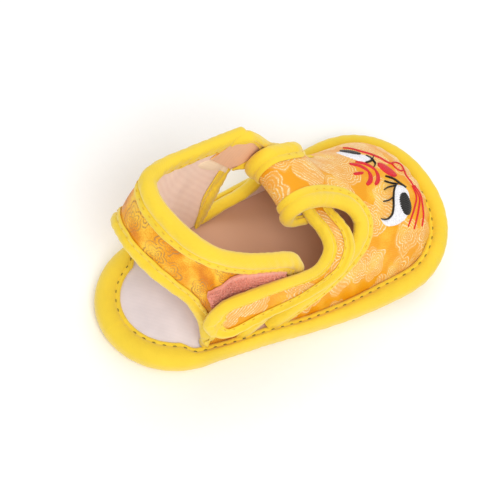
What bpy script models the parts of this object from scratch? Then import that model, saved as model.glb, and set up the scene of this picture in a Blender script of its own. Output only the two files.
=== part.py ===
"""A child's silk sandal: padded cloth sole, brocade toe with an instep tab, heel band and strap.

The shoe stands on its sole with the toe towards +X and the strap's free end on the -Y side.
All sizes below are millimetres; MM turns them into metres when a mesh is made.
"""
import bmesh
import bpy
import numpy as np

MM = 0.001

# Sole outline
LENGTH = 125.0
HEEL_HALF_WIDTH = 24.3
BALL_HALF_WIDTH = 31.0
HEEL_ROUND = 27.0
TOE_ROUND = 25.5
HEEL_POWER = 2.0
TOE_POWER = 2.15
WAIST_POWER = 1.2
TOE_SPRING = 10.0
SPRING_START_X = 13.5
WAIST_LIFT = 0.8
WAIST_LIFT_X = -14.0
WAIST_LIFT_LENGTH = 30.0

# Sole layers
GAP = 0.3
SOLE_BODY_TOP = 5.2
SOLE_RIM_BOTTOM = 1.35
SOLE_RIM_INSET = 1.5
SOLE_RIM_BEVEL = 0.7
SOLE_FACE_INSET = 6.4
INSOLE_THICKNESS = 1.0
INSOLE_INSET = 2.2
EDGE_TAPE = 0.8
EDGE_TAPE_LOW = 0.25
SOLE_TOP = SOLE_BODY_TOP + INSOLE_THICKNESS + 2 * GAP
EDGE_ROLL_TABLE = (
    # inset, height of the rolled tape's outer face, from its top arm to its lower one
    (3.4, 7.95), (1.2, 7.2), (0.1, 5.4), (0.0, 3.6), (0.35, 1.9), (1.6, 0.55), (3.0, EDGE_TAPE_LOW),
)

# Cloth of the upper
WALL = 1.8
STRAP_WALL = 1.4
TAPE = 0.64
TAPE_GAP = 0.46
TAPE_ARMS = (5.0, 4.0)
VAMP_TAPE_ARMS = (5.0, 2.0)
STRAP_TAPE_ARMS = (3.4, 3.0)
TAPE_SHOULDER = 0.3
ROLL = TAPE_GAP + TAPE

# Where the upper's tapes start above the sole
TAPE_LOWEST_Q = 0.97
TAPE_LOWEST_SHARE = 0.06
HEEL_TAPE_START = 0.3

# Ways into the wall from its edges: along the first and the second parameter of its surface
WING_INWARD = (1.0, 0.05)
TAB_INWARD = (1.0, -1.5)
RIM_INWARD = -0.1
STRAP_END_INWARD = -5.0

# Distance from the sole's outer edge to the upper's outer face
FEATHER_TABLE = (
    # x, inset
    (-62.5, 6.2), (-45.0, 5.4), (-28.0, 4.3), (-10.0, 4.3), (10.0, 5.2), (30.0, 6.6), (62.5, 7.0),
)

# The last: a superellipse in every cross section
LAST_POWER = 2.15
DOME_START_X = 10.0
RISE_TABLE = (
    # x, height of the section above the insole
    (-24.0, 44.0), (-8.0, 40.5), (10.0, 35.5), (24.0, 30.8), (38.0, 27.6), (60.0, 25.0),
)

# Throat of the vamp: q runs from -1 at the near sole edge over 0 on top to +1 at the far sole edge
NOTCH_X = 19.5
NEAR_WING_TABLE = (
    # step, x, q
    (0.0, -14.6, -0.945), (1.0, -9.0, -0.87), (2.0, 0.0, -0.76), (3.0, 9.0, -0.62), (4.0, 16.0, -0.48),
    (5.0, NOTCH_X, -0.36),
)
FAR_WING_TABLE = (
    # step, x, q
    (0.0, -13.4, 0.95), (1.0, -5.5, 0.90), (2.0, 4.0, 0.80), (3.0, 12.0, 0.66), (4.0, 17.5, 0.53),
    (5.0, NOTCH_X, 0.42),
)
WING_END = 5.0
WING_TAPE_END = 4.6
FEATHER_LEAD = 14.0

# Instep tab and its tunnel
TAB_FOLD_NEAR_X = 2.6
TAB_FOLD_FAR_X = -0.6
TAB_LIFT_X = 9.0
TAB_CROWN_Y = 11.0
TAB_CROWN_RADIUS = 30.0
TAB_RIDGE_TABLE = (
    # x, height of the tab's outer face
    (-10.0, 50.4), (-4.0, 49.2), (5.0, 46.8), (12.0, 43.6), (19.5, 39.0),
)
TAB_SIDES_TABLE = (
    # x, near side y, far side y
    (-10.0, -4.4, 16.7), (-4.0, -4.4, 16.7), (8.0, -4.5, 16.7), (13.0, -5.4, 16.8), (16.5, -7.6, 16.6),
    (18.6, -10.5, 16.2), (NOTCH_X, -13.8, 15.8),
)
TUNNEL_RADIUS = 4.6
TUNNEL_CLOSE_X = 15.0
TUNNEL_END_X = 17.5
TUNNEL_END_DEPTH = 4.6
UNDER_TAPE_END_X = 7.0
NOTCH_EASE = 1.6

# Quarters and heel band: finished edges, low edge then top edge, station by station round the heel
BASE_Z = SOLE_TOP - ROLL
BACK_TABLE = (
    # station, low x, low y, low z, top x, top y, top z
    (0.0, -19.6, -21.7, BASE_Z, -8.6, -17.4, 36.0),
    (1.0, -21.8, -21.4, BASE_Z, -11.5, -17.0, 43.0),
    (2.0, -26.0, -20.8, BASE_Z, -20.0, -16.8, 47.5),
    (3.0, -33.0, -19.6, BASE_Z, -29.0, -16.3, 51.0),
    (4.0, -39.0, -18.2, BASE_Z, -36.0, -15.0, 54.0),
    (5.0, -44.2, -15.8, 25.0, -41.2, -12.6, 57.0),
    (6.0, -49.0, -11.0, 34.0, -45.4, -8.0, 59.2),
    (7.0, -55.0, -2.5, 38.5, -48.7, 0.5, 59.6),
    (8.0, -57.6, 8.0, 39.5, -50.3, 9.0, 59.6),
    (9.0, -56.8, 15.5, 38.0, -48.8, 16.0, 59.4),
    (10.0, -52.0, 19.6, 32.5, -42.0, 19.8, 58.6),
    (11.0, -45.0, 19.2, 24.0, -34.6, 21.3, 57.6),
    (12.0, -39.0, 18.0, BASE_Z, -27.2, 21.8, 56.8),
    (13.0, -25.5, 20.8, BASE_Z, -19.6, 22.1, 56.7),
    (14.0, -20.6, 21.5, BASE_Z, -13.0, 22.2, 56.4),
    (15.0, -18.4, 21.7, BASE_Z, -10.0, 22.0, 51.0),
)
BASE_STATIONS_NEAR = 4.0
BASE_STATIONS_FAR = 12.0
BACK_BULGE = 1.2

# Strap: finished edges, from its root inside the far quarter to the tunnel, and on to its free end
STRAP_FAR_TABLE = (
    # back x, back y, back z, front x, front y, front z
    (-21.0, 17.6, 41.0, -20.0, 17.6, 55.0),
    (-17.6, 17.6, 40.8, -16.0, 17.6, 55.3),
    (-14.2, 17.7, 40.8, -12.0, 17.8, 55.0),
    (-11.4, 18.3, 41.0, -8.2, 18.3, 53.8),
    (-8.9, 19.6, 41.4, -4.6, 20.1, 51.6),
    (-6.7, 20.9, 41.7, -0.8, 21.3, 48.8),
    (-5.1, 22.0, 41.7, 3.3, 22.3, 45.6),
    (-3.8, 22.7, 41.3, 6.8, 22.9, 42.4),
    (-2.9, 23.0, 40.7, 9.5, 23.1, 39.7),
    (-2.2, 22.7, 39.7, 11.4, 22.8, 37.6),
    (-1.6, 21.7, 39.2, 12.2, 21.7, 36.4),
    (-0.8, 20.2, 39.9, 12.4, 20.0, 36.0),
)
TUNNEL_ROWS_TABLE = (
    # y, back x, depth below the tab, front x, depth below the tab
    (16.4, 0.7, 3.9, 11.6, 4.3), (12.0, 1.2, 4.0, 12.4, 4.4), (4.0, 2.4, 4.4, 13.8, 4.7),
    (-1.0, 3.5, 4.6, 14.8, 4.9), (-5.4, 4.5, 4.9, 15.4, 5.0),
)
STRAP_NEAR_TABLE = (
    # back x, back y, back z, front x, front y, front z
    (4.2, -10.8, 35.8, 15.2, -12.6, 33.0),
    (3.2, -15.6, 35.8, 12.6, -20.2, 33.4),
    (-0.8, -19.6, 34.8, 6.0, -24.4, 28.8),
    (-7.0, -21.6, 35.4, -2.5, -25.8, 26.0),
    (-18.0, -22.4, 37.8, -11.5, -26.0, 24.0),
    (-30.0, -22.4, 38.6, -25.0, -26.0, 23.5),
    (-37.6, -21.2, 36.0, -35.6, -24.8, 21.6),
    (-41.2, -20.9, 32.4, -40.2, -22.9, 23.0),
    (-42.4, -21.0, 29.6, -42.2, -21.8, 26.2),
)

# Fastener patch, placed on the near quarter's outer face by station and height share
PATCH_LOW_SHARE = 0.45
PATCH_TOP_TABLE = (
    # station, share of the patch's top edge
    (1.25, 0.79), (3.3, 0.79), (4.0, 0.71), (4.5, 0.56),
)
PATCH_THICKNESS = 0.8

# Small steps for slopes and normals
PROBE = 0.1
SLOPE_STEP = 0.5
LEAST_SIZE = 0.5
STATION_STEP = 0.05
SHARP_ANGLE = 40.0

# Number of steps in each mesh
OUTLINE_SAMPLES = 2000
OUTLINE_STEPS = 54
SPRING_CUTS = 8
WING_STEPS = 12
ROOT_STEPS = 10
DOME_ROWS = 9
TAB_STEPS = 11
FOLD_STEPS = 8
UNDER_STEPS = 8
BACK_STEPS = 40
BACK_ROWS = 6
STRAP_STEP_TABLE = (
    # distance along the strap, steps up to there
    (7.0, 2), (24.0, 6), (32.0, 14), (36.0, 3), (62.0, 5), (92.0, 11), (118.0, 5),
)
STRAP_END_STEPS = 5
STRAP_ROWS = 4
TAPE_TAB_STEPS = 14
FRONT_STEPS = 8
HEEL_STEPS = 24
PATCH_STEPS = 9
PATCH_ROWS = 3

# Colour, roughness of each finish
FINISHES = {
    "binding_tape": ((0.956, 0.708, 0.040), 0.75),
    "silk_brocade": ((1.000, 0.456, 0.013), 0.45),
    "sole_cloth": ((0.930, 0.650, 0.060), 0.85),
    "insole_cotton": ((0.830, 0.745, 0.760), 0.90),
    "fastener_pile": ((0.745, 0.216, 0.162), 0.95),
}


def curve(table, at):
    """Monotone cubic through a table whose first column is the parameter."""
    rows = np.asarray(table, float)
    at = np.asarray(at, float)
    knots, values = rows[:, 0], rows[:, 1:]
    slope = np.diff(values, axis=0) / np.diff(knots)[:, None]
    before, after = slope[:-1], slope[1:]
    total = np.where(before + after == 0, 1, before + after)
    inner = np.where(before * after > 0, 2 * before * after / total, 0)
    tangent = np.concatenate([slope[:1], inner, slope[-1:]])
    i = np.clip(np.searchsorted(knots, at, side="right") - 1, 0, len(knots) - 2)
    span = (knots[i + 1] - knots[i])[..., None]
    s = ((at - knots[i]) / (knots[i + 1] - knots[i]))[..., None]
    low, high = s < 0, s > 1
    c = np.clip(s, 0, 1)
    inside = ((2 * c**3 - 3 * c**2 + 1) * values[i] + (c**3 - 2 * c**2 + c) * span * tangent[i]
              + (3 * c**2 - 2 * c**3) * values[i + 1] + (c**3 - c**2) * span * tangent[i + 1])
    inside = np.where(low, values[i] + s * span * tangent[i], inside)
    return np.where(high, values[i + 1] + (s - 1) * span * tangent[i + 1], inside)


def unit(vectors):
    """Vectors scaled to length one."""
    return vectors / np.maximum(np.linalg.norm(vectors, axis=-1, keepdims=True), 1e-12)


def sole_half_width(x):
    """Half width of the sole's outline at x: a superellipse at heel and toe, a sine rise between."""
    half = LENGTH / 2
    heel = np.clip((HEEL_ROUND - half - x) / HEEL_ROUND, 0, 1)
    toe = np.clip((x - half + TOE_ROUND) / TOE_ROUND, 0, 1)
    along = np.clip((x + half - HEEL_ROUND) / (LENGTH - HEEL_ROUND - TOE_ROUND), 0, 1)
    side = HEEL_HALF_WIDTH + (BALL_HALF_WIDTH - HEEL_HALF_WIDTH) * np.sin(along * np.pi / 2)**WAIST_POWER
    return (side * (1 - heel**HEEL_POWER)**(1 / HEEL_POWER) * (1 - toe**TOE_POWER)**(1 / TOE_POWER))


def sole_outline(count):
    """Closed outline, evenly spaced, from the heel's back along the far side to the toe and back."""
    x = -LENGTH / 2 * np.cos(np.linspace(0, np.pi, OUTLINE_SAMPLES + 1))
    half = np.stack([x, sole_half_width(x)], axis=-1)
    ring = np.concatenate([half, (half * (1, -1))[::-1][1:]])
    length = np.r_[0, np.cumsum(np.linalg.norm(np.diff(ring, axis=0), axis=1))]
    at = np.linspace(0, length[-1], count, endpoint=False)
    return np.stack([np.interp(at, length, ring[:, k]) for k in (0, 1)], axis=-1)


def inset(ring, distance):
    """Closed outline moved inwards by a distance, one number or one for each point."""
    along = unit(np.roll(ring, -1, axis=0) - np.roll(ring, 1, axis=0))
    return ring + np.stack([along[:, 1], -along[:, 0]], axis=-1) * np.reshape(distance, (-1, 1))


def floor_lift(x):
    """Height of the sole's underside: lifted under the waist and towards the toe."""
    toe = np.clip((x - SPRING_START_X) / (LENGTH / 2 - SPRING_START_X), 0, None)
    waist = np.clip(1 - np.abs(x - WAIST_LIFT_X) / (WAIST_LIFT_LENGTH / 2), 0, 1)
    return TOE_SPRING * toe**2 + WAIST_LIFT * waist**2 * (3 - 2 * waist)


def feather_inset(x):
    """Inset of the upper's outer face from the sole's edge."""
    return curve(FEATHER_TABLE, x)[..., 0]


FINE_OUTLINE = sole_outline(OUTLINE_SAMPLES)
FEATHER_RING = inset(FINE_OUTLINE, feather_inset(FINE_OUTLINE[:, 0]))
FEATHER_FAR = FEATHER_RING[:OUTLINE_SAMPLES // 2 + 1]
TOE_TIP_X = FEATHER_FAR[:, 0].max()


def base_half_width(x):
    """Half width of the upper's outer face where it meets the insole."""
    return np.interp(x, FEATHER_FAR[:, 0], FEATHER_FAR[:, 1])


def last_rise(x):
    """Height of the last's section at x above the insole, closing to nothing at the toe tip."""
    toe = np.clip((x - DOME_START_X) / (TOE_TIP_X - DOME_START_X), 0, 1)
    return curve(RISE_TABLE, x)[..., 0] * (1 - toe**LAST_POWER)**(1 / LAST_POWER)


def last_height(x, y):
    """Height of the last's outer face over a plan point."""
    share = np.clip(np.abs(y) / np.maximum(base_half_width(x), 1e-6), 0, 1)
    return SOLE_TOP + floor_lift(x) + last_rise(x) * (1 - share**LAST_POWER)**(1 / LAST_POWER)


def last_normal(points):
    """Outward normals of the last: the gradient of its superellipse equation."""
    def level(p):
        x, y, z = np.moveaxis(p, -1, 0)
        across = np.abs(y) / np.maximum(base_half_width(x), LEAST_SIZE)
        up = np.clip(z - SOLE_TOP - floor_lift(x), 0, None) / np.maximum(last_rise(x), LEAST_SIZE)
        return across**LAST_POWER + up**LAST_POWER
    steps = PROBE * np.eye(3)
    return unit(np.stack([level(points + step) - level(points - step) for step in steps], axis=-1))


def last_surface(x, q):
    """Middle of the vamp's wall on the last at station x and share q, with its normal."""
    x, q = np.broadcast_arrays(np.asarray(x, float), np.asarray(q, float))
    angle = np.clip(1 - np.abs(q), 0, 1) * np.pi / 2
    y = np.sign(q) * base_half_width(x) * np.cos(angle)**(2 / LAST_POWER)
    z = SOLE_TOP + floor_lift(x) + last_rise(x) * np.sin(angle)**(2 / LAST_POWER)
    outer = np.stack([x, y, z], axis=-1)
    normal = last_normal(outer)
    return outer - normal * WALL / 2, normal


def top_height(x, y):
    """Height of the vamp's outer face on top: the last's, passing over to the tab's own crown."""
    own = np.clip((NOTCH_X - x) / (NOTCH_X - TAB_LIFT_X), 0, 1)
    own = own * own * (3 - 2 * own)
    crown = curve(TAB_RIDGE_TABLE, x)[..., 0] - (y - TAB_CROWN_Y)**2 / (2 * TAB_CROWN_RADIUS)
    return own * crown + (1 - own) * last_height(x, y)


def plan_surface(x, y):
    """Middle of the vamp's wall on top over a plan point, with its normal."""
    x, y = np.broadcast_arrays(np.asarray(x, float), np.asarray(y, float))
    rise_x = top_height(x + SLOPE_STEP, y) - top_height(x - SLOPE_STEP, y)
    rise_y = top_height(x, y + SLOPE_STEP) - top_height(x, y - SLOPE_STEP)
    normal = unit(np.stack([-rise_x, -rise_y, np.full_like(x, 2 * SLOPE_STEP)], axis=-1))
    return np.stack([x, y, top_height(x, y)], axis=-1) - normal * WALL / 2, normal


def tab_top(x, y):
    """Middle of the tab's top layer, with its normal in the long section."""
    middle, normal = plan_surface(x, y)
    return middle, unit(normal * (1, 0, 1))


TAB_FOLD_X = (TAB_FOLD_NEAR_X + TAB_FOLD_FAR_X) / 2
TAB_TOP_LENGTH = NOTCH_X - TAB_FOLD_X
FOLD_LENGTH = np.pi * TUNNEL_RADIUS
UNDER_LENGTH = TUNNEL_END_X - TAB_FOLD_X


def fold_x(share):
    """Station where the tab folds under, slanting from its near side to its far side."""
    return TAB_FOLD_NEAR_X + (TAB_FOLD_FAR_X - TAB_FOLD_NEAR_X) * share


def tab_point(along, share):
    """Middle of the tab's wall: back along its top, round the fold, and forward underneath."""
    along, share = np.broadcast_arrays(along, share)
    under = (along - TAB_TOP_LENGTH - FOLD_LENGTH) / UNDER_LENGTH
    fold_at = fold_x(share)
    back = np.minimum(along / TAB_TOP_LENGTH, 1)
    x = np.where(under > 0, fold_at + (TUNNEL_END_X - fold_at) * under, NOTCH_X + (fold_at - NOTCH_X) * back)
    sides = curve(TAB_SIDES_TABLE, np.where(under > 0, np.minimum(x, TAB_LIFT_X), x))
    y = sides[..., 0] + (sides[..., 1] - sides[..., 0]) * share
    top, normal = tab_top(x, y)[0], tab_top(fold_at, y)[1]
    turn = np.clip((along - TAB_TOP_LENGTH) / TUNNEL_RADIUS, 0, np.pi)[..., None]
    rearward = np.stack([-normal[..., 2], 0 * y, normal[..., 0]], axis=-1)
    fold = top - TUNNEL_RADIUS * (normal - np.cos(turn) * normal - np.sin(turn) * rearward)
    closing = np.clip((x - TUNNEL_CLOSE_X) / (TUNNEL_END_X - TUNNEL_CLOSE_X), 0, 1)
    depth = 2 * TUNNEL_RADIUS + (TUNNEL_END_DEPTH - 2 * TUNNEL_RADIUS) * closing
    return np.where((under > 0)[..., None], top - depth[..., None] * normal, fold)


def surface_of(point, step_u, step_w):
    """A surface function with outward normals from a point function, by small steps both ways."""
    def surface(u, w):
        u, w = np.broadcast_arrays(np.asarray(u, float), np.asarray(w, float))
        along = point(u + step_u, w) - point(u - step_u, w)
        across = point(u, w + step_w) - point(u, w - step_w)
        return point(u, w), unit(np.cross(across, along))
    return surface


def back_edges(station):
    """Wall edges of the quarters and heel band: the finished edges less the binding's roll."""
    row = curve(BACK_TABLE, station)
    low, top = row[..., :3].copy(), row[..., 3:].copy()
    side = np.where(station < (BASE_STATIONS_NEAR + BASE_STATIONS_FAR) / 2, -1, 1)
    on_base = (station <= BASE_STATIONS_NEAR) | (station >= BASE_STATIONS_FAR)
    rim = unit(top - low)
    base_y = side * (base_half_width(low[..., 0]) - WALL / 2)
    base = np.stack([low[..., 0], base_y, SOLE_TOP + floor_lift(low[..., 0])], axis=-1)
    band = low + rim * ROLL
    band[..., 2] = np.maximum(band[..., 2], base[..., 2])
    return np.where(on_base[..., None], base, band), top - rim * ROLL


def back_point(station, share):
    """Middle of the back's wall: between its low and top edge, bowed out a little."""
    station, share = np.broadcast_arrays(station, share)
    low, top = back_edges(station)
    ahead, behind = back_edges(station + STATION_STEP), back_edges(station - STATION_STEP)
    along = unit(ahead[0] + ahead[1] - behind[0] - behind[1])
    out = unit(np.cross(unit(top - low), along))
    bow = BACK_BULGE * np.sin(np.pi * np.clip(share, 0, 1))
    return low + (top - low) * share[..., None] + out * bow[..., None]


def strap_rows():
    """Finished edges of the strap, front then back, with the distance along it as first column."""
    tunnel = []
    for y, back_x, back_depth, front_x, front_depth in TUNNEL_ROWS_TABLE:
        normal = tab_top(TAB_FOLD_X, y)[1]
        back = tab_top(back_x, y)[0] - normal * back_depth
        front = tab_top(front_x, y)[0] - normal * front_depth
        tunnel.append([*back, *front])
    rows = np.array(list(STRAP_FAR_TABLE) + tunnel + list(STRAP_NEAR_TABLE))
    loop = slice(1, len(STRAP_FAR_TABLE))
    rows[loop] = (rows[:loop.stop - 1] + 4 * rows[loop] + rows[2:loop.stop + 1]) / 6
    middle = (rows[:, :3] + rows[:, 3:]) / 2
    along = np.r_[0, np.cumsum(np.linalg.norm(np.diff(middle, axis=0), axis=1))]
    return np.column_stack([along, rows[:, 3:], rows[:, :3]])


STRAP_ROWS_TABLE = strap_rows()
STRAP_LENGTH = STRAP_ROWS_TABLE[-1, 0]


def strap_point(along, share):
    """Middle of the strap's wall, from its front edge to its back edge, inside the binding's roll."""
    along, share = np.broadcast_arrays(along, share)
    row = curve(STRAP_ROWS_TABLE, along)
    front, back = row[..., :3], row[..., 3:]
    across = unit(back - front) * ROLL
    front, back = front + across, back - across
    return front + (back - front) * share[..., None]


tab_surface = surface_of(tab_point, 0.2, 0.02)
back_surface = surface_of(back_point, 0.02, 0.02)
strap_surface = surface_of(strap_point, 0.3, 0.02)


def finish(name):
    """Material with a finish's colour and roughness."""
    material = bpy.data.materials.get(name)
    if material is None:
        colour, roughness = FINISHES[name]
        material = bpy.data.materials.new(name)
        material.use_nodes = True
        shader = material.node_tree.nodes["Principled BSDF"]
        shader.inputs["Base Color"].default_value = (*colour, 1)
        shader.inputs["Roughness"].default_value = roughness
        shader.inputs["Metallic"].default_value = 0
    return material


def add_solid(name, points, faces, finish_name):
    """Object from points in millimetres and faces, with its faces turned outwards."""
    mesh = bpy.data.meshes.new(name)
    mesh.from_pydata((np.asarray(points) * MM).tolist(), [], [tuple(int(i) for i in f) for f in faces])
    form = bmesh.new()
    form.from_mesh(mesh)
    bmesh.ops.recalc_face_normals(form, faces=form.faces)
    form.to_mesh(mesh)
    form.free()
    mesh.shade_smooth()
    mesh.set_sharp_from_angle(angle=np.radians(SHARP_ANGLE))
    mesh.materials.append(finish(finish_name))
    item = bpy.data.objects.new(name, mesh)
    bpy.context.scene.collection.objects.link(item)
    return item


def grid_quads(index):
    """Quads between neighbouring rows and columns of an index grid."""
    return np.stack([index[:-1, :-1], index[1:, :-1], index[1:, 1:], index[:-1, 1:]], axis=-1).reshape(-1, 4)


def add_wall(name, outer, inner, quads, finish_name):
    """Wall between an outer and an inner face that share their quads, closed along every free edge."""
    count = len(outer)
    faces = [tuple(q) for q in quads] + [tuple(q[::-1] + count) for q in quads]
    edges = {}
    for quad in quads:
        for a, b in zip(quad, np.roll(quad, -1)):
            edges[(a, b)] = True
    rim = [(b, a, a + count, b + count) for a, b in edges if (b, a) not in edges]
    return add_solid(name, np.concatenate([outer, inner]), faces + rim, finish_name)


def add_sheet(name, surface, u, w, wall, finish_name):
    """Wall of one thickness about a surface, over a grid of its two parameters."""
    middle, normal = surface(*np.meshgrid(u, w, indexing="ij"))
    outer = (middle + normal * wall / 2).reshape(-1, 3)
    inner = (middle - normal * wall / 2).reshape(-1, 3)
    index = np.arange(len(u) * len(w)).reshape(len(u), len(w))
    return add_wall(name, outer, inner, grid_quads(index), finish_name)


def add_sweep(name, sections, finish_name, closed=False):
    """Solid through closed sections, joined end to end in a ring or capped at both ends."""
    rings, size = sections.shape[:2]
    index = np.arange(rings * size).reshape(rings, size)
    wrapped = np.concatenate([index, index[:, :1]], axis=1)
    if closed:
        wrapped = np.concatenate([wrapped, wrapped[:1]], axis=0)
    faces = [tuple(q) for q in grid_quads(wrapped)]
    if not closed:
        faces += [tuple(index[0]), tuple(index[-1][::-1])]
    return add_solid(name, sections.reshape(-1, 3), faces, finish_name)


def edge_rows(surface, u, w, along, inside, distances, steps=(0.05, 0.02)):
    """Points and normals of a surface at several distances in from an edge given by its parameters.

    A distance below zero lies straight out from the edge. The inside pair points into the wall;
    the rows run along it, or square to the edge if the edge's direction is given.
    """
    point, normal = surface(u, w)
    by_u = (surface(u + steps[0], w)[0] - surface(u - steps[0], w)[0]) / (2 * steps[0])
    by_w = (surface(u, w + steps[1])[0] - surface(u, w - steps[1])[0]) / (2 * steps[1])
    hint = by_u * np.reshape(inside[0], (-1, 1)) + by_w * np.reshape(inside[1], (-1, 1))
    inward = unit(hint)
    if along is not None:
        inward = unit(np.cross(normal, along))
        inward = inward * np.sign(np.sum(inward * hint, axis=-1, keepdims=True))
    uu, uw, ww = (np.sum(a * b, axis=-1) for a, b in ((by_u, by_u), (by_u, by_w), (by_w, by_w)))
    iu, iw = np.sum(by_u * inward, axis=-1), np.sum(by_w * inward, axis=-1)
    scale = uu * ww - uw**2
    du, dw = (ww * iu - uw * iw) / scale, (uu * iw - uw * iu) / scale
    points, normals = [], []
    for distance in distances:
        reach = max(distance, 0)
        found, facing = surface(u + du * reach, w + dw * reach)
        if reach:
            stretch = reach / np.linalg.norm(found - point, axis=-1)
            found, facing = surface(u + du * reach * stretch, w + dw * reach * stretch)
        points.append(found + inward * min(distance, 0))
        normals.append(facing)
    return np.stack(points, axis=1), np.stack(normals, axis=1)


def tape_profile(wall, arms):
    """Section of a folded tape: distance in from the wall's edge, distance out from its middle."""
    near, far = wall / 2 + TAPE_GAP, wall / 2 + ROLL
    outer_arm, inner_arm = arms
    return np.array([
        (outer_arm, far), (TAPE_SHOULDER, far), (-ROLL, far / 2), (-ROLL, -far / 2), (TAPE_SHOULDER, -far),
        (inner_arm, -far), (inner_arm, -near), (-TAPE_GAP, -near), (-TAPE_GAP, near), (outer_arm, near),
    ])


def tape_sections(runs, wall, arms=TAPE_ARMS):
    """Sections of a tape folded over an edge that runs through one or more surfaces in turn.

    Each run is a surface, its two parameters along the edge, the pair that points into the wall, and
    whether the tape lies square to the edge.
    """
    profile = tape_profile(wall, arms)
    edge = np.concatenate([surface(u, w)[0] for surface, u, w, _, _ in runs])
    edge_along = unit(np.gradient(edge, axis=0))
    sections, first = [], 0
    for surface, u, w, inside, square in runs:
        along = edge_along[first:first + len(u)] if square else None
        points, normals = edge_rows(surface, u, w, along, inside, profile[:, 0])
        sections.append(points + normals * profile[None, :, 1:])
        first += len(u)
    return np.concatenate(sections)


def lifted(points):
    """Points of the sole raised by its toe spring and waist."""
    points = np.array(points, float)
    points[..., 2] += floor_lift(points[..., 0])
    return points


def add_slab(name, rings, finish_name):
    """Flat layer of the sole through rings of inset and height, cut across so that it can bend."""
    outline = sole_outline(OUTLINE_STEPS)
    stack = np.stack([np.column_stack([inset(outline, d), np.full(len(outline), z)]) for d, z in rings])
    index = np.arange(stack.shape[0] * stack.shape[1]).reshape(stack.shape[:2])
    sides = grid_quads(np.concatenate([index, index[:, :1]], axis=1))
    faces = [tuple(q) for q in sides] + [tuple(index[0]), tuple(index[-1][::-1])]
    item = add_solid(name, stack.reshape(-1, 3), faces, finish_name)
    form = bmesh.new()
    form.from_mesh(item.data)
    cuts = list(np.linspace(SPRING_START_X, LENGTH / 2, SPRING_CUTS, endpoint=False))
    cuts += list(WAIST_LIFT_X + WAIST_LIFT_LENGTH * np.array((-0.5, -0.25, 0.0, 0.25, 0.5)))
    for x in cuts:
        everything = form.verts[:] + form.edges[:] + form.faces[:]
        bmesh.ops.bisect_plane(form, geom=everything, plane_co=(x * MM, 0, 0), plane_no=(1, 0, 0))
    for vertex in form.verts:
        vertex.co.z += float(floor_lift(np.float64(vertex.co.x / MM))) * MM
    bmesh.ops.triangulate(form, faces=form.faces)
    form.to_mesh(item.data)
    form.free()
    return item


def make_sole():
    """Sole body with a rebate for the binding, and the cotton sheet on top of it."""
    add_slab("sole", (
        (SOLE_FACE_INSET, 0.0), (SOLE_FACE_INSET, SOLE_RIM_BOTTOM),
        (SOLE_RIM_INSET + SOLE_RIM_BEVEL, SOLE_RIM_BOTTOM), (SOLE_RIM_INSET, SOLE_RIM_BOTTOM + SOLE_RIM_BEVEL),
        (SOLE_RIM_INSET, SOLE_BODY_TOP),
    ), "sole_cloth")
    low = SOLE_BODY_TOP + GAP
    add_slab("insole", ((INSOLE_INSET, low), (INSOLE_INSET, low + INSOLE_THICKNESS)), "insole_cotton")


def make_sole_binding():
    """Tape folded round the sole's edge; its top arm reaches to the upper's face."""
    outline = sole_outline(OUTLINE_STEPS)
    top_arm = feather_inset(outline[:, 0]) - GAP
    top = SOLE_TOP + EDGE_TAPE
    low_arm = SOLE_FACE_INSET - 1.5 * GAP
    bevel = SOLE_RIM_BEVEL - GAP / 2
    profile = ((top_arm, top),) + EDGE_ROLL_TABLE + (
        (low_arm, EDGE_TAPE_LOW), (low_arm, SOLE_RIM_BOTTOM - GAP),
        (SOLE_RIM_INSET + bevel, SOLE_RIM_BOTTOM - GAP), (SOLE_RIM_INSET - GAP, SOLE_RIM_BOTTOM + bevel),
        (SOLE_RIM_INSET - GAP, SOLE_BODY_TOP + GAP), (INSOLE_INSET - GAP, SOLE_TOP), (top_arm, SOLE_TOP),
    )
    rings = [np.column_stack([inset(outline, d), np.full(len(outline), z)]) for d, z in profile]
    add_sweep("sole_binding", lifted(np.stack(rings, axis=1)), "binding_tape", closed=True)


def wing_rows(table, steps, end=WING_END):
    """Throat edge of one wing: x and q from the sole to the notch."""
    return curve(table, np.linspace(0, end, steps)).T


def feather_arc(start_x, count):
    """Points of the upper's base round the toe, from the near side at start_x to the far side."""
    far = FEATHER_FAR[FEATHER_FAR[:, 0] >= start_x]
    ring = np.concatenate([far * (1, -1), far[::-1][1:]])
    length = np.r_[0, np.cumsum(np.linalg.norm(np.diff(ring, axis=0), axis=1))]
    at = np.linspace(0, length[-1], count)
    return np.stack([np.interp(at, length, ring[:, k]) for k in (0, 1)], axis=-1)


def vamp_dome():
    """Outer points of the vamp from its throat down to the sole, one line for each throat station."""
    rows = np.linspace(0, 1, DOME_ROWS)

    def wing(table):
        x, q = wing_rows(table, WING_STEPS)
        lead = FEATHER_LEAD * np.linspace(0, 1, WING_STEPS)**2
        station = x[:, None] + lead[:, None] * rows
        share = q[:, None] + (np.sign(q) - q)[:, None] * rows
        middle, normal = last_surface(station, share)
        return middle + normal * WALL / 2

    near, far = wing(NEAR_WING_TABLE), wing(FAR_WING_TABLE)[::-1]
    root = np.linspace(near[-1, 0, 1], far[0, 0, 1], ROOT_STEPS)
    base = feather_arc(NOTCH_X + FEATHER_LEAD, ROOT_STEPS)
    reach = np.sin(rows * np.pi / 2)[None, :, None]
    plan = np.stack([np.full(ROOT_STEPS, NOTCH_X), root], axis=-1)[:, None]
    plan = plan + (base[:, None] - plan) * reach
    height = last_height(plan[..., 0], plan[..., 1])
    height[:, -1] = SOLE_TOP + floor_lift(plan[:, -1, 0])
    front = np.concatenate([plan, height[..., None]], axis=-1)
    return np.concatenate([near, front[1:-1], far])


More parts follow.
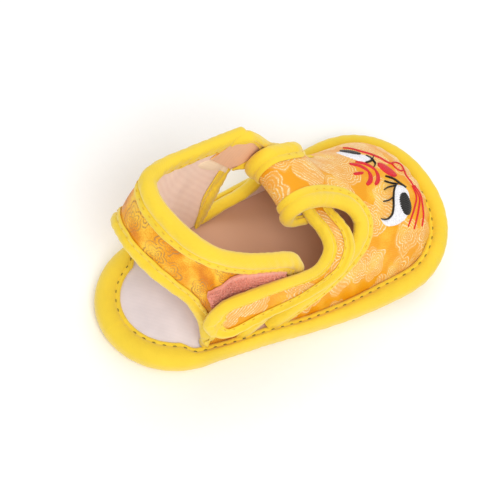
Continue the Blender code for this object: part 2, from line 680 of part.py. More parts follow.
def make_vamp():
    """Brocade toe with its two wings, and the instep tab folded under to a tunnel."""
    outer = vamp_dome()
    normal = unit(np.cross(np.gradient(outer, axis=1), np.gradient(outer, axis=0)))
    normal = normal * np.sign(np.sum(normal * last_normal(outer), axis=-1, keepdims=True) + 1e-9)
    inner = outer - normal * WALL
    dome = np.arange(outer.shape[0] * outer.shape[1]).reshape(outer.shape[:2])
    top = TAB_TOP_LENGTH * np.linspace(0, 1, TAB_STEPS)[1:]**NOTCH_EASE
    fold = TAB_TOP_LENGTH + np.linspace(0, FOLD_LENGTH, FOLD_STEPS + 1)[1:]
    under = TAB_TOP_LENGTH + FOLD_LENGTH + np.linspace(0, UNDER_LENGTH, UNDER_STEPS + 1)[1:]
    along = np.concatenate([top, fold, under])
    middle, facing = tab_surface(*np.meshgrid(along, np.linspace(0, 1, ROOT_STEPS), indexing="ij"))
    tab = dome.size + np.arange(len(along) * ROOT_STEPS).reshape(len(along), ROOT_STEPS)
    root = dome[WING_STEPS - 1:WING_STEPS - 1 + ROOT_STEPS, 0]
    quads = np.concatenate([grid_quads(dome), grid_quads(np.concatenate([root[None], tab]))])
    all_outer = np.concatenate([outer.reshape(-1, 3), (middle + facing * WALL / 2).reshape(-1, 3)])
    all_inner = np.concatenate([inner.reshape(-1, 3), (middle - facing * WALL / 2).reshape(-1, 3)])
    add_wall("upper_vamp", all_outer, all_inner, quads, "silk_brocade")


def above_sole(x, q):
    """The last's surface, kept clear of the sole's binding."""
    return last_surface(x, np.clip(q, -TAPE_LOWEST_Q, TAPE_LOWEST_Q))


def make_vamp_binding(name, wing_table, side):
    """Tape along one wing, round the notch, along the tab's side, round its fold and back under it."""
    wing_x, wing_q = wing_rows(wing_table, WING_STEPS, WING_TAPE_END)
    tab_share = 0.0 if side < 0 else 1.0
    fold_at = fold_x(tab_share)
    top_x = NOTCH_X - (NOTCH_X - fold_at) * np.linspace(0, 1, TAPE_TAB_STEPS)[1:]**NOTCH_EASE
    top_y = curve(TAB_SIDES_TABLE, top_x)[:, 0 if side < 0 else 1]
    tunnel = TAB_TOP_LENGTH + np.linspace(0, FOLD_LENGTH, FOLD_STEPS + 1)[1:]
    under_end = UNDER_LENGTH * (UNDER_TAPE_END_X - fold_at) / (TUNNEL_END_X - fold_at)
    under = TAB_TOP_LENGTH + FOLD_LENGTH + np.linspace(0, under_end, UNDER_STEPS)[1:]
    along = np.concatenate([tunnel, under])
    share = np.full(len(along), tab_share)
    sections = tape_sections((
        (above_sole, wing_x, wing_q, (WING_INWARD[0], WING_INWARD[1] * side), True),
        (plan_surface, top_x, top_y, (TAB_INWARD[0], TAB_INWARD[1] * side), True),
        (tab_surface, along, share, (0.0, -side), False),
    ), WALL, VAMP_TAPE_ARMS)
    add_sweep(name, sections, "binding_tape")


def make_back():
    """Quarters and heel band in one wall, and the tape on their edges."""
    first, last = BACK_TABLE[0][0], BACK_TABLE[-1][0]
    add_sheet("upper_back", back_surface, np.linspace(first, last, BACK_STEPS),
              np.linspace(0, 1, BACK_ROWS), WALL, "silk_brocade")
    front = np.linspace(TAPE_LOWEST_SHARE, 1, FRONT_STEPS)
    rim = np.linspace(first, last, BACK_STEPS)[1:-1]
    station = np.concatenate([np.full(FRONT_STEPS, first), rim, np.full(FRONT_STEPS, last)])
    share = np.concatenate([front, np.ones(len(rim)), front[::-1]])
    inside_u = np.concatenate([np.ones(FRONT_STEPS), np.zeros(len(rim)), -np.ones(FRONT_STEPS)])
    inside_w = np.where(share == 1, RIM_INWARD, 0.0)
    collar = tape_sections(((back_surface, station, share, (inside_u, inside_w), False),), WALL)
    add_sweep("collar_binding", collar, "binding_tape")
    low = np.linspace(BASE_STATIONS_NEAR + HEEL_TAPE_START, BASE_STATIONS_FAR - HEEL_TAPE_START, HEEL_STEPS)
    heel = tape_sections(((back_surface, low, np.zeros(HEEL_STEPS), (0.0, 1.0), True),), WALL)
    add_sweep("heel_binding", heel, "binding_tape")


def strap_stations():
    """Distances along the strap at which it is cut into steps, closest where it turns most."""
    stations = [np.zeros(1)]
    for reach, steps in STRAP_STEP_TABLE + ((STRAP_LENGTH, STRAP_END_STEPS),):
        stations.append(np.linspace(stations[-1][-1], reach, steps + 1)[1:])
    return np.concatenate(stations)


def make_strap():
    """Strap in one wall, and the tape along both sides and round its free end."""
    along = strap_stations()
    add_sheet("strap", strap_surface, along, np.linspace(0, 1, STRAP_ROWS), STRAP_WALL, "silk_brocade")
    sides = along[:-1]
    end = np.array((1.0, 0.5, 0.0))
    u = np.concatenate([sides, np.full(len(end), STRAP_LENGTH), sides[::-1]])
    w = np.concatenate([np.ones(len(sides)), end, np.zeros(len(sides))])
    inside_u = np.where(u == STRAP_LENGTH, STRAP_END_INWARD, 0.0)
    inside_w = np.sign(0.5 - w)
    sections = tape_sections(((strap_surface, u, w, (inside_u, inside_w), False),), STRAP_WALL, STRAP_TAPE_ARMS)
    add_sweep("strap_binding", sections, "binding_tape")


def make_patch():
    """Hook-and-loop patch lying on the near quarter's outer face."""
    def lying(station, height):
        top = curve(PATCH_TOP_TABLE, station)[..., 0]
        middle, normal = back_surface(station, PATCH_LOW_SHARE + (top - PATCH_LOW_SHARE) * height)
        return middle + normal * (WALL / 2 + GAP + PATCH_THICKNESS / 2), normal
    stations = np.linspace(PATCH_TOP_TABLE[0][0], PATCH_TOP_TABLE[-1][0], PATCH_STEPS)
    add_sheet("fastener_patch", lying, stations, np.linspace(0, 1, PATCH_ROWS), PATCH_THICKNESS, "fastener_pile")


def main():
    """Clear the scene and make every piece."""
    for item in list(bpy.data.objects):
        bpy.data.objects.remove(item, do_unlink=True)
    make_sole()
    make_sole_binding()
    make_vamp()
    make_vamp_binding("vamp_binding_near", NEAR_WING_TABLE, -1)
    make_vamp_binding("vamp_binding_far", FAR_WING_TABLE, 1)
    make_back()
    make_strap()
    make_patch()


main()
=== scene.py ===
"""Looks of a child's silk sandal: padded sole, brocade toe and heel band, bias tapes, stitches, embroidery.

Every surface is a two-parameter grid or a section carried along a path, in millimetres; MM turns the
points into metres when a mesh is made. The toe points to +X, the strap's free end lies on the -Y side.
"""

import bmesh
import bpy
import numpy as np
from bpy.props import FloatProperty, FloatVectorProperty, PointerProperty
from mathutils import Matrix, Vector


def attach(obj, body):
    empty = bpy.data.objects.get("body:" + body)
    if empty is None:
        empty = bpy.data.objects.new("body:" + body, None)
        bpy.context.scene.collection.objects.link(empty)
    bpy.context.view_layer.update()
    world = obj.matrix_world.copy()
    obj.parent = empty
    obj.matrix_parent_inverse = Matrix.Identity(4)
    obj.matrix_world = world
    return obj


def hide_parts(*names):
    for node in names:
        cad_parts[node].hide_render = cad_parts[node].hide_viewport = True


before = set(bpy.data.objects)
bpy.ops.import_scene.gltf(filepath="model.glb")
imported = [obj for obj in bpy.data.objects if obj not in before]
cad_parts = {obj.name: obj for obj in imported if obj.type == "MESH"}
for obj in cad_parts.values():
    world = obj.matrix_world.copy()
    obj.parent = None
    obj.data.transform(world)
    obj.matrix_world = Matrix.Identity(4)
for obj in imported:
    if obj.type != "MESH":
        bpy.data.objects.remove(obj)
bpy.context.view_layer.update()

bl_info = {
    "name": "Silk Shoe",
    "version": (1, 0, 0),
    "blender": (4, 5, 0),
    "location": "View3D > Sidebar > Silk Shoe",
    "description": "Makes the cloth, tapes, stitches and embroidery of a child's silk sandal",
    "category": "Object",
}

MM = 0.001

# Sole outline and layers
LENGTH = 125.0
HEEL_HALF_WIDTH = 24.3
BALL_HALF_WIDTH = 31.0
HEEL_ROUND = 27.0
TOE_ROUND = 25.5
HEEL_POWER = 2.0
TOE_POWER = 2.15
WAIST_POWER = 1.2
TOE_SPRING = 10.0
SPRING_START_X = 13.5
WAIST_LIFT = 0.8
WAIST_LIFT_X = -14.0
WAIST_LIFT_LENGTH = 30.0
SOLE_BODY_TOP = 5.2
SOLE_RIM_BOTTOM = 1.35
SOLE_RIM_INSET = 1.5
SOLE_FACE_INSET = 6.4
INSOLE_INSET = 2.2
INSOLE_LOW = 5.5
INSOLE_EDGE = 6.5
INSOLE_CROWN = 1.3
SOLE_TOP = 6.8
SOLE_RIM_CUT = 0.7
SOLE_RINGS = (
    # inset from the outline, height
    (SOLE_FACE_INSET, 0.0), (SOLE_FACE_INSET, SOLE_RIM_BOTTOM),
    (SOLE_RIM_INSET + SOLE_RIM_CUT, SOLE_RIM_BOTTOM), (SOLE_RIM_INSET, SOLE_RIM_BOTTOM + SOLE_RIM_CUT),
    (SOLE_RIM_INSET, SOLE_BODY_TOP),
)
INSOLE_RIM_CUT = (0.4, 0.2)
INSOLE_RINGS = (
    # inset from the outline, height
    (INSOLE_INSET, INSOLE_LOW), (INSOLE_INSET, INSOLE_EDGE - INSOLE_RIM_CUT[1]),
    (INSOLE_INSET + INSOLE_RIM_CUT[0], INSOLE_EDGE), (SOLE_FACE_INSET, INSOLE_EDGE),
)
CROWN_POWER = 0.8
AXIS_HEEL_X = -38.0
AXIS_TOE_X = 33.0

# Cloth of the upper
WALL = 1.8
STRAP_WALL = 1.4
ROLL = 1.1
FEATHER_TABLE = (
    # x, inset of the upper's outer face from the sole's edge
    (-62.5, 6.2), (-45.0, 5.4), (-28.0, 4.3), (-10.0, 4.3), (10.0, 5.2), (30.0, 6.6), (62.5, 7.0),
)

# The last: a superellipse in every cross section
LAST_POWER = 2.15
DOME_START_X = 10.0
RISE_TABLE = (
    # x, height of the section above the insole
    (-24.0, 44.0), (-8.0, 40.5), (10.0, 35.5), (24.0, 30.8), (38.0, 27.6), (60.0, 25.0),
)

# Throat of the vamp: q runs from -1 at the near sole edge over 0 on top to +1 at the far sole edge
NOTCH_X = 19.5
NEAR_WING_TABLE = (
    # step, x, q
    (0.0, -15.0, -0.992), (1.0, -8.2, -0.88), (2.0, 0.7, -0.76), (3.0, 9.0, -0.62), (4.0, 16.0, -0.48),
    (5.0, NOTCH_X, -0.36),
)
FAR_WING_TABLE = (
    # step, x, q
    (0.0, -15.6, 0.992), (1.0, -7.2, 0.945), (2.0, 4.0, 0.815), (3.0, 12.0, 0.66), (4.0, 17.5, 0.53),
    (5.0, NOTCH_X, 0.42),
)
WING_END = 5.0
WING_TAPE_END = 4.6
FEATHER_LEAD = 14.0
TAPE_LOWEST_Q = 0.992
FAR_LEAN = 2.0
FAR_LEAN_X = (12.0, -4.0)
FAR_LEAN_Q = 0.15

# Instep tab and its tunnel
TAB_FOLD_NEAR_X = 2.6
TAB_FOLD_FAR_X = -0.6
TAB_LIFT_X = 9.0
TAB_CROWN_Y = 11.0
TAB_CROWN_RADIUS = 30.0
TAB_RIDGE_TABLE = (
    # x, height of the tab's outer face
    (-10.0, 50.4), (-4.0, 49.2), (5.0, 46.8), (12.0, 43.6), (19.5, 39.0),
)
TAB_SIDES_TABLE = (
    # x, near side y, far side y
    (-10.0, -4.4, 16.7), (-4.0, -4.4, 16.7), (8.0, -4.5, 16.7), (13.0, -5.4, 16.8), (16.5, -7.6, 16.6),
    (18.6, -10.5, 16.2), (NOTCH_X, -13.8, 15.8),
)
TUNNEL_RADIUS = 4.6
TUNNEL_CLOSE_X = 15.0
TUNNEL_END_X = 17.5
TUNNEL_END_DEPTH = 4.6
UNDER_TAPE_END_X = 7.0
NOTCH_EASE = 1.6
NOTCH_SKIP = 4
# Point about which the toe's cloth is laid flat for its pattern
FLAT_CENTRE = (NOTCH_X, 1.0, 39.0)

# Quarters and heel band: finished edges, low edge then top edge, station by station round the heel
BASE_Z = SOLE_TOP - ROLL
BACK_TABLE = (
    # station, low x, low y, low z, top x, top y, top z
    (0.0, -22.6, -21.4, BASE_Z, -5.2, -17.6, 32.5),
    (1.0, -24.4, -21.1, BASE_Z, -10.0, -17.1, 41.4),
    (2.0, -27.0, -20.8, BASE_Z, -20.0, -16.8, 47.5),
    (3.0, -32.0, -19.6, BASE_Z, -29.0, -15.3, 51.0),
    (4.0, -36.8, -18.5, BASE_Z, -36.0, -12.9, 54.0),
    (4.5, -37.6, -17.4, 12.2, -38.0, -12.1, 55.2),
    (5.0, -39.1, -15.95, 18.6, -39.8, -11.2, 56.3),
    (5.4, -41.05, -14.25, 23.6, -41.4, -10.1, 57.2),
    (5.7, -44.0, -11.7, 29.2, -43.0, -8.7, 58.2),
    (6.0, -47.6, -9.0, 32.8, -44.6, -6.6, 59.2),
    (7.0, -54.0, -2.2, 38.3, -46.6, 0.5, 59.6),
    (8.0, -56.3, 8.0, 39.5, -47.8, 9.0, 59.6),
    (9.0, -55.4, 15.3, 38.0, -46.4, 16.0, 59.4),
    (10.0, -51.6, 19.4, 32.5, -40.4, 19.8, 58.6),
    (11.0, -45.0, 19.2, 24.0, -34.6, 21.3, 57.6),
    (12.0, -39.0, 18.0, BASE_Z, -27.2, 21.8, 56.8),
    (13.0, -24.0, 20.8, BASE_Z, -18.6, 22.0, 56.5),
    (14.0, -17.6, 21.4, BASE_Z, -9.4, 22.0, 56.4),
    (15.0, -15.4, 21.6, BASE_Z, -6.0, 21.9, 51.2),
)
BASE_STATIONS_NEAR = 4.0
BASE_STATIONS_FAR = 12.0
BASE_BLEND_STATIONS = 0.8
HEEL_TAPE_START = 0.1
HEEL_FLARE = 0.3
HEEL_FLARE_STATIONS = 0.9
BACK_BULGE = 1.2

# Strap: finished edges, from its root inside the far quarter to the tunnel, and on to its free end
STRAP_FAR_TABLE = (
    # back x, back y, back z, front x, front y, front z
    (-10.0, 20.2, 37.2, -20.6, 20.9, 48.6),
    (-8.8, 19.5, 37.9, -16.8, 20.9, 52.0),
    (-7.8, 18.9, 38.5, -12.2, 20.9, 56.1),
    (-7.0, 18.4, 39.0, -7.6, 20.8, 56.4),
    (-6.2, 18.2, 39.4, -4.2, 20.6, 53.2),
    (-5.3, 18.2, 39.7, -1.0, 20.4, 49.4),
    (-4.4, 18.4, 40.0, 2.2, 20.0, 45.2),
    (-3.2, 18.8, 40.2, 5.6, 20.2, 41.8),
    (-2.2, 19.2, 40.2, 8.6, 20.6, 38.9),
    (-1.5, 19.4, 40.1, 10.8, 20.8, 37.2),
    (-1.0, 19.2, 40.2, 12.0, 20.5, 36.3),
    (-0.4, 18.4, 40.8, 12.4, 19.4, 36.1),
)
# The strap's lining ends in an oval tongue on the far quarter: station and share of its centre, half axes
TONGUE_CENTRE = (13.75, 0.685)
TONGUE_LONG = (1.12, -0.135)
TONGUE_WIDE = (0.26, 0.036)
TONGUE_BASE = 0.15
TONGUE_CROWN = 0.7
TUNNEL_ROWS_TABLE = (
    # y, back x, depth below the tab, front x, depth below the tab
    (16.4, 0.7, 3.9, 11.6, 4.3), (12.0, 1.2, 4.0, 12.4, 4.4), (4.0, 2.4, 4.4, 13.8, 4.7),
    (-1.0, 3.5, 4.6, 14.8, 4.9), (-5.4, 4.5, 4.9, 15.4, 5.0),
)
STRAP_NEAR_TABLE = (
    # back x, back y, back z, front x, front y, front z
    (4.2, -10.8, 35.8, 15.2, -12.6, 33.0),
    (3.2, -15.6, 35.8, 12.6, -20.2, 33.4),
    (-0.8, -19.6, 34.8, 6.0, -24.4, 28.8),
    (-7.0, -21.6, 36.2, -2.5, -25.8, 28.2),
    (-18.0, -22.4, 39.2, -11.5, -26.0, 27.2),
    (-30.0, -22.4, 40.8, -25.0, -26.0, 26.4),
    (-37.6, -21.2, 38.4, -35.6, -24.8, 22.0),
    (-41.2, -20.9, 33.4, -40.2, -22.9, 23.0),
    (-42.4, -21.0, 29.6, -42.2, -21.8, 26.2),
)

# Fastener patch, placed on the near quarter's outer face by station and height share
PATCH_LOW_SHARE = 0.45
PATCH_TOP_TABLE = (
    # station, share of the patch's top edge
    (1.25, 0.86), (2.0, 0.88), (3.0, 0.865), (4.0, 0.745), (5.1, 0.51),
)
PATCH_THICKNESS = 0.8
PATCH_GAP = 0.3

# Ways into the wall from its edges: along the first and the second parameter of its surface
WING_INWARD = (1.0, 0.05)
TAB_INWARD = (1.0, -1.5)
RIM_INWARD = -0.1
STRAP_TIP = 7.5
STRAP_TIP_GAIN = 0.7

# Outer and inner arm of each folded tape
COLLAR_ARMS = (6.2, 5.0)
COLLAR_FULL = 0.35
COLLAR_FULL_STATIONS = (7.6, 3.2)
HEEL_ARMS = (4.9, 4.0)
VAMP_ARMS = (5.6, 2.0)
STRAP_ARMS = (2.9, 3.0)
FAR_NOTCH_TRIM = 0.8
FAR_NOTCH_FLAT = 0.6
FAR_NOTCH_X = (8.0, 16.0)
FAR_ARM_GAIN = 1.4
TAPE_SECTION = (
    # shares of outer arm, crease and inner arm, distance in from the edge; share of half the wall, height
    (0, 0, 0, 0, 1, 0.15), (1, 0, 0, -0.5, 1, 0.12), (1, 0, 0, 0.1, 1, 0.14), (1, 0, 0, 0.1, 1, 0.5),
    (1, 0, 0, -0.5, 1, 0.78), (0, 1, 0, 0.65, 1, 0.74), (0, 1, 0, 0.1, 1, 0.34), (0, 1, 0, -0.4, 1, 0.95),
    (0, 0.62, 0, 0, 1, 1.45), (0, 0.25, 0, 0, 1, 1.45), (0, 0, 0, -0.55, 1, 0.95),
    (0, 0, 0, -1.25, 0.45, 0), (0, 0, 0, -1.25, -0.45, 0), (0, 0, 0, -0.55, -1, -0.9),
    (0, 0, 0.25, 0, -1, -1.25), (0, 0, 0.48, 0, -1, -1.15), (0, 0, 0.6, 0, -1, -0.45),
    (0, 0, 0.7, 0, -1, -0.7), (0, 0, 1, -0.15, -1, -0.65), (0, 0, 1, 0, -1, -0.4), (0, 0, 1, 0, -1, -0.12),
    (0, 0, 0, 0, -1, -0.15), (0, 0, 0, -0.4, 0, 0),
)
SOLE_ARM_HEEL = 7.6
SOLE_ARM_BLEND_X = (-41.0, -47.0)
SOLE_ARM_GAP = 0.15
SOLE_SEAM = 1.45
SOLE_SEAM_Z = 7.62
SOLE_TAPE_SECTION = (
    # shares of the arm and of the seam's inset, inset from the outline, height
    (1, 0, -0.2, 6.85), (1, 0, 0.05, 6.95), (1, 0, 0.05, 7.35), (1, 0, -0.5, 7.75), (0, 1, 0.5, 7.75),
    (0, 1, 0, 7.4), (0, 1, -0.55, 7.95), (0, 0.68, 0, 8.35), (0, 0.38, 0, 8.15), (0, 0.12, 0, 7.1),
    (0, 0, -0.1, 5.7), (0, 0, -0.15, 4), (0, 0, 0.05, 2.5), (0, 0, 0.8, 0.9), (0, 0, 2, 0.2),
    (0, 0, 4, 0.1), (0, 0, 5.7, 0.15), (0, 0, 6, 0.6), (0, 0, 5.6, 1.05), (0, 0, 2.4, 1.05),
    (0, 0, 1.25, 1.9), (0, 0, 1.25, 5.5), (0, 0, 1.9, 6.8),
)

# Seams: place in a tape's crease, form of one stitch, and lengths without stitches at both ends
SEAM_BEYOND_CREASE = 0.9
SEAM_RISE = 0.7
INNER_SEAM_SHARE = 0.75
STITCH_TAPER = 0.75
STITCH_ARCH = (0.35, 0.9)
STITCH_AHEAD = 0.4
TOE_SEAM_ENDS = (4.0, 26.0)
COLLAR_SEAM_ENDS = (12.0, 12.0)
COLLAR_INNER_SEAM_ENDS = (12.0, 50.0)
HEEL_SEAM_ENDS = (6.0, 6.0)
STRAP_SEAM_ENDS = (14.0, 14.0)
ROOT_SEAM_AT = 0.8
ROOT_SEAM_SHARES = (0.02, 0.98)
ROOT_SEAM_LIFT = 0.45
ROOT_SEAM_PITCH = 0.45

# Loop pile of the fastener: length of a station, margin, jitter, loop's overrun, half width, thread, heights
PATCH_STATION = 11.0
PILE_MARGIN = 0.03
PILE_JITTER = 0.4
LOOP_OVERRUN = 0.3
LOOP_HALF_WIDTH = 0.45
LOOP_THREAD = (0.16, 0.09)
LOOP_HEIGHTS = (0.7, 1.2)
PILE_SEED = 7

# Small steps for slopes and normals
PROBE = 0.1
SLOPE_STEP = 0.5
LEAST_SIZE = 0.5
STATION_STEP = 0.05
TAB_PROBE = (0.2, 0.02)
BACK_PROBE = (0.02, 0.02)
STRAP_PROBE = (0.3, 0.02)
EDGE_PROBE = (0.05, 0.02)
TINY = 1e-9
SHARP_ANGLE = 50.0

# Steps of the meshes
OUTLINE_SAMPLES = 2000
OUTLINE_STEPS = 440
SOLE_STEPS = 220
PAD_RINGS = 30
PAD_MERGE = 0.02
TAPE_STEP = 0.7
FINE_STEPS = 10
WING_STEPS = 64
ROOT_STEPS = 64
DOME_ROWS = 56
TAB_STEPS = 40
FOLD_STEPS = 24
UNDER_STEPS = 30
BACK_STEPS = 260
BACK_ROWS = 36
COLLAR_FRONT_STEPS = 30
COLLAR_RIM_STEPS = 160
HEEL_TAPE_STEPS = 120
STRAP_STEP = 0.5
STRAP_ROWS = 18
STRAP_END_STEPS = 12
ROOT_SEAM_STEPS = 40
TONGUE_RINGS = 10
TONGUE_SIDES = 48
TONGUE_MERGE = 0.01
PATCH_STEPS = 60
PATCH_ROWS = 24
STITCH_RINGS = 5
STITCH_SIDES = 6
LOOP_RINGS = 6
LOOP_SIDES = 4
STROKE_STEPS = 24
SATIN_STEPS = 5
SATIN_ROWS = 9
CORNER_ROUNDS = 12

# Waves in the cloth: length, depth
BAND_WAVES = ((31.0, 0.35), (13.0, 0.16), (7.3, 0.07))
BAND_STATION = 12.0
BAND_WAVE_SLANT = 4.0
DOME_GATHERS = (6.4, 0.32)
DOME_GATHER_DRIFT = (1.5, 13.0)
DOME_GATHER_REACH = 0.3
# Strap: thickness at its root, and the ends of its tape
STRAP_ROOT_SHARE = 0.35
STRAP_ROOT_LENGTH = 8.0
STRAP_TAPE_START = (1.0, 5.0)
STRAP_TAPE_TAPER = 6.0
STRAP_TAPE_LEAST = 0.3
STRAP_PLUMP_LEAST = 0.2
STRAP_TURN = 45.0
# Relief under the sole and on the insole
QUILT_SPACING = 9.0
QUILT_DEPTH = 0.25
QUILT_POWER = 24
QUILT_EDGE = 3.0
HOLLOW_LENGTHS = (7.3, 6.0, 8.1, 3.9, 5.2)
HOLLOW_BEND = 0.6
HOLLOW_DEPTH = 0.12
HOLLOW_EDGE = 2.0
# Small folds of the tapes: length, share
PUCKERS = ((3.4, 1.0), (5.3, 0.7), (9.1, 0.5))
PUCKER_SLANT = 0.7
PUCKER_DRIFT = (1.6, 1.9)
PUCKER_FADE = 11.0
PUCKER_LEAST = 0.1
PUCKER_HEIGHTS = (0.3, 0.8)
SOLE_PUCKER_Z = (3.0, 6.0)
SOLE_PUCKER_SIDE = 0.7
SOLE_PUCKER_FADE = 0.2

# Patterns of the cloth
# Scales of wave textures whose bands lie one millimetre apart, straight and slanting
RIB = 2 * np.pi / 20
SLANT_RIB = 2 * np.pi / (10 * 2**0.5)
# Painted shade on the insole: between these x the cloth passes to a darker, warmer colour towards the toe,
# where the upper shades it
PAINTED_SHADE_X = (-42.0, -12.0)
CLOTHS = {
    # spacing of the ribs in millimetres, their direction, depth, roughness, sheen
    "cotton_canvas": (1.6, "DIAGONAL", 0.3, 0.9, 0.2),
    "brushed_cotton": (1.2, "DIAGONAL", 0.04, 0.92, 0.4),
    "tricot_lining": (2.1, "DIAGONAL", 0.25, 0.85, 0.25),
    "cotton_facing": (1.2, "DIAGONAL", 0.1, 0.85, 0.25),
    "cotton_calico": (1.0, "DIAGONAL", 0.1, 0.85, 0.25),
    "nylon_loop_pile": (1.4, "X", 0.4, 0.9, 0.6),
}
# Brocades: spacing of the contour threads, share of curls, bend, spread of the ground's painted shade and
# shine
LEAF_PATTERN = (1.15, 0.6, 5.0, 0.3)
SCROLL_PATTERN = (1.3, 1.0, 2.5, 0.15)
# The heel band's curls are smaller than the toe's clouds
SCROLL_SIZE = 0.78

# Embroidered face: plan points x, y on the toe
FAR_EYE = (
    ((29.2, 14.7), (31.2, 15.2), (34.6, 14.2), (36.6, 11.5), (38.2, 9.6), (38.4, 7.9)),
    ((29.2, 14.7), (30.1, 12.1), (31.9, 9.2), (34.5, 6.9), (36.5, 6.9), (38.4, 7.9)),
)
NEAR_EYE = (
    ((40.8, -4.1), (43.9, -4.9), (44.8, -6.9), (43.7, -9.9), (42.5, -12.3), (40.2, -14.3), (37.3, -15.6),
     (33.8, -16.1), (30.9, -15.9), (28.7, -14.8), (28.1, -13.4)),
    ((40.8, -4.1), (39.2, -5.3), (37.5, -7.3), (35.8, -9.6), (34.3, -11.7), (32.3, -13.3), (29.9, -13.8),
     (28.1, -13.4)),
)
PUPILS = (
    # half width, then the points of the middle line
    (1.6, ((31.0, 15.1), (33.2, 13.6), (36.3, 10.8))),
    (2.9, ((42.2, -7.4), (40.3, -10.9), (39.0, -14.1))),
)
NOSE = (2.2, ((39.5, 5.4), (40.6, 3.6), (41.3, 2.2), (42.2, 0.8), (43.5, -0.8)))
BLACK_LINES = (
    # half width at the thickest place, then points
    (0.30, ((28.2, -13.3), (30.4, -13.8), (32.9, -13.1), (34.9, -11.0), (36.5, -8.4), (38.7, -5.6),
            (40.8, -4.0))),
    (0.30, ((38.6, -0.2), (41.0, -1.6), (42.8, -3.9), (44.2, -5.6))),
    (0.26, ((36.8, -1.9), (38.8, -3.0), (41.6, -4.0))),
    (0.26, ((34.6, -4.9), (37.3, -4.3), (40.6, -4.3))),
    (0.26, ((31.8, -8.6), (34.0, -8.6), (37.0, -7.8))),
    (0.28, ((37.6, 9.6), (38.6, 7.4), (38.4, 5.5), (36.8, 4.2))),
    (0.26, ((34.8, 6.6), (37.4, 6.8), (40.3, 8.6))),
)
RED_LINES = (
    (0.55, ((34.3, 17.0), (36.1, 15.1), (37.7, 12.6), (40.1, 10.2), (42.5, 7.5), (44.0, 5.2), (45.8, 4.0))),
    (0.34, ((45.0, 4.6), (47.6, 5.0), (49.7, 3.6), (49.0, 1.3), (48.1, -1.2), (48.4, -3.4), (48.6, -5.2))),
    (0.32, ((45.2, 4.2), (45.7, 2.2), (47.2, 1.1), (49.2, 1.6))),
    (0.30, ((47.8, -5.0), (47.3, -8.4), (43.9, -12.4), (40.9, -15.1), (38.4, -17.2))),
    (0.32, ((48.4, -5.0), (48.6, -8.4), (45.3, -13.3), (42.8, -16.0), (40.7, -18.2))),
    (0.30, ((49.1, -4.8), (49.9, -7.8), (48.4, -11.7), (47.0, -14.8), (44.7, -17.8))),
    (0.90, ((28.6, 7.6), (31.4, 6.2), (33.1, 3.9), (33.4, 2.8))),
    (0.90, ((29.0, -2.0), (31.6, -0.6), (33.1, 1.4), (33.4, 2.8))),
    (0.80, ((31.6, 8.0), (34.4, 6.3), (36.2, 3.8), (36.5, 2.6))),
    (0.80, ((32.4, -2.6), (34.8, -1.0), (36.2, 1.2), (36.5, 2.6))),
    (0.70, ((26.8, 3.0), (28.8, 2.9), (30.9, 2.8))),
)
STROKED_PIECES = (
    # piece, thread, share of the lift, slant of the threads, width of the tips, strokes
    ("eye_pupils", "black", 1.6, 0.5, 0.08, PUPILS),
    ("nose", "red", 1.2, 0.5, 0.05, (NOSE,)),
    ("lashes", "black", 1.7, 1.5, 0.5, BLACK_LINES),
    ("red_lines", "red", 1.1, 1.5, 0.4, RED_LINES),
)
EYE_SLANT = 1.0
EMBROIDERY_LIFT = 0.5
EMBROIDERY_RIDGE = 0.28
EMBROIDERY_BED = 0.12
EMBROIDERY_SINK = 0.3
LEAST_THREADS = 3

# Studio
CAMERA_BACK = (-0.432158, -0.343393, 0.833866)
CAMERA_RIGHT = (0.829094, -0.515623, 0.216956)
CAMERA_UP = (0.355558, 0.784978, 0.507500)
CAMERA_DISTANCE = 0.7
CAMERA_FOCUS = 2123.1
CAMERA_CENTRE = (265.217, 267.491)
PICTURE = 500.0
SENSOR = 36.0
FLOOR_HALF = 3.0
WORLD_STRENGTH = 0.68
LAMP_AIM = (0.0, 0.0, 0.02)
LAMPS = (
    # name, place in metres, watts, size in metres
    ("key", (-0.36, -0.68, 1.0), 7.0, 0.6),
    ("fill", (0.5, 0.6, 0.9), 3.0, 0.9),
)


def curve(table, at):
    """Monotone cubic through a table whose first column is the parameter."""
    rows = np.asarray(table, float)
    at = np.asarray(at, float)
    knots, values = rows[:, 0], rows[:, 1:]
    slope = np.diff(values, axis=0) / np.diff(knots)[:, None]
    before, after = slope[:-1], slope[1:]
    total = np.where(before + after == 0, 1, before + after)
    inner = np.where(before * after > 0, 2 * before * after / total, 0)
    tangent = np.concatenate([slope[:1], inner, slope[-1:]])
    i = np.clip(np.searchsorted(knots, at, side="right") - 1, 0, len(knots) - 2)
    span = (knots[i + 1] - knots[i])[..., None]
    s = ((at - knots[i]) / (knots[i + 1] - knots[i]))[..., None]
    low, high = s < 0, s > 1
    c = np.clip(s, 0, 1)
    inside = ((2 * c**3 - 3 * c**2 + 1) * values[i] + (c**3 - 2 * c**2 + c) * span * tangent[i]
              + (3 * c**2 - 2 * c**3) * values[i + 1] + (c**3 - c**2) * span * tangent[i + 1])
    inside = np.where(low, values[i] + s * span * tangent[i], inside)
    return np.where(high, values[i + 1] + (s - 1) * span * tangent[i + 1], inside)


def unit(vectors):
    """Vectors scaled to length one."""
    return vectors / np.maximum(np.linalg.norm(vectors, axis=-1, keepdims=True), TINY)


def lengths(points):
    """Distance along a line of points, from its first one."""
    return np.r_[0, np.cumsum(np.linalg.norm(np.diff(points, axis=0), axis=1))]


def along_line(at, length, points):
    """Points of a line at given distances along it."""
    return np.stack([np.interp(at, length, column) for column in points.T], axis=-1)


def smooth(value):
    """Soft step from 0 to 1."""
    value = np.clip(value, 0, 1)
    return value * value * (3 - 2 * value)


def passing(value, ends):
    """Soft step from 0 at the first end to 1 at the second."""
    return smooth((value - ends[0]) / (ends[1] - ends[0]))


def between(low, high, share):
    """Value at a share of the way from low to high."""
    return low + (high - low) * share


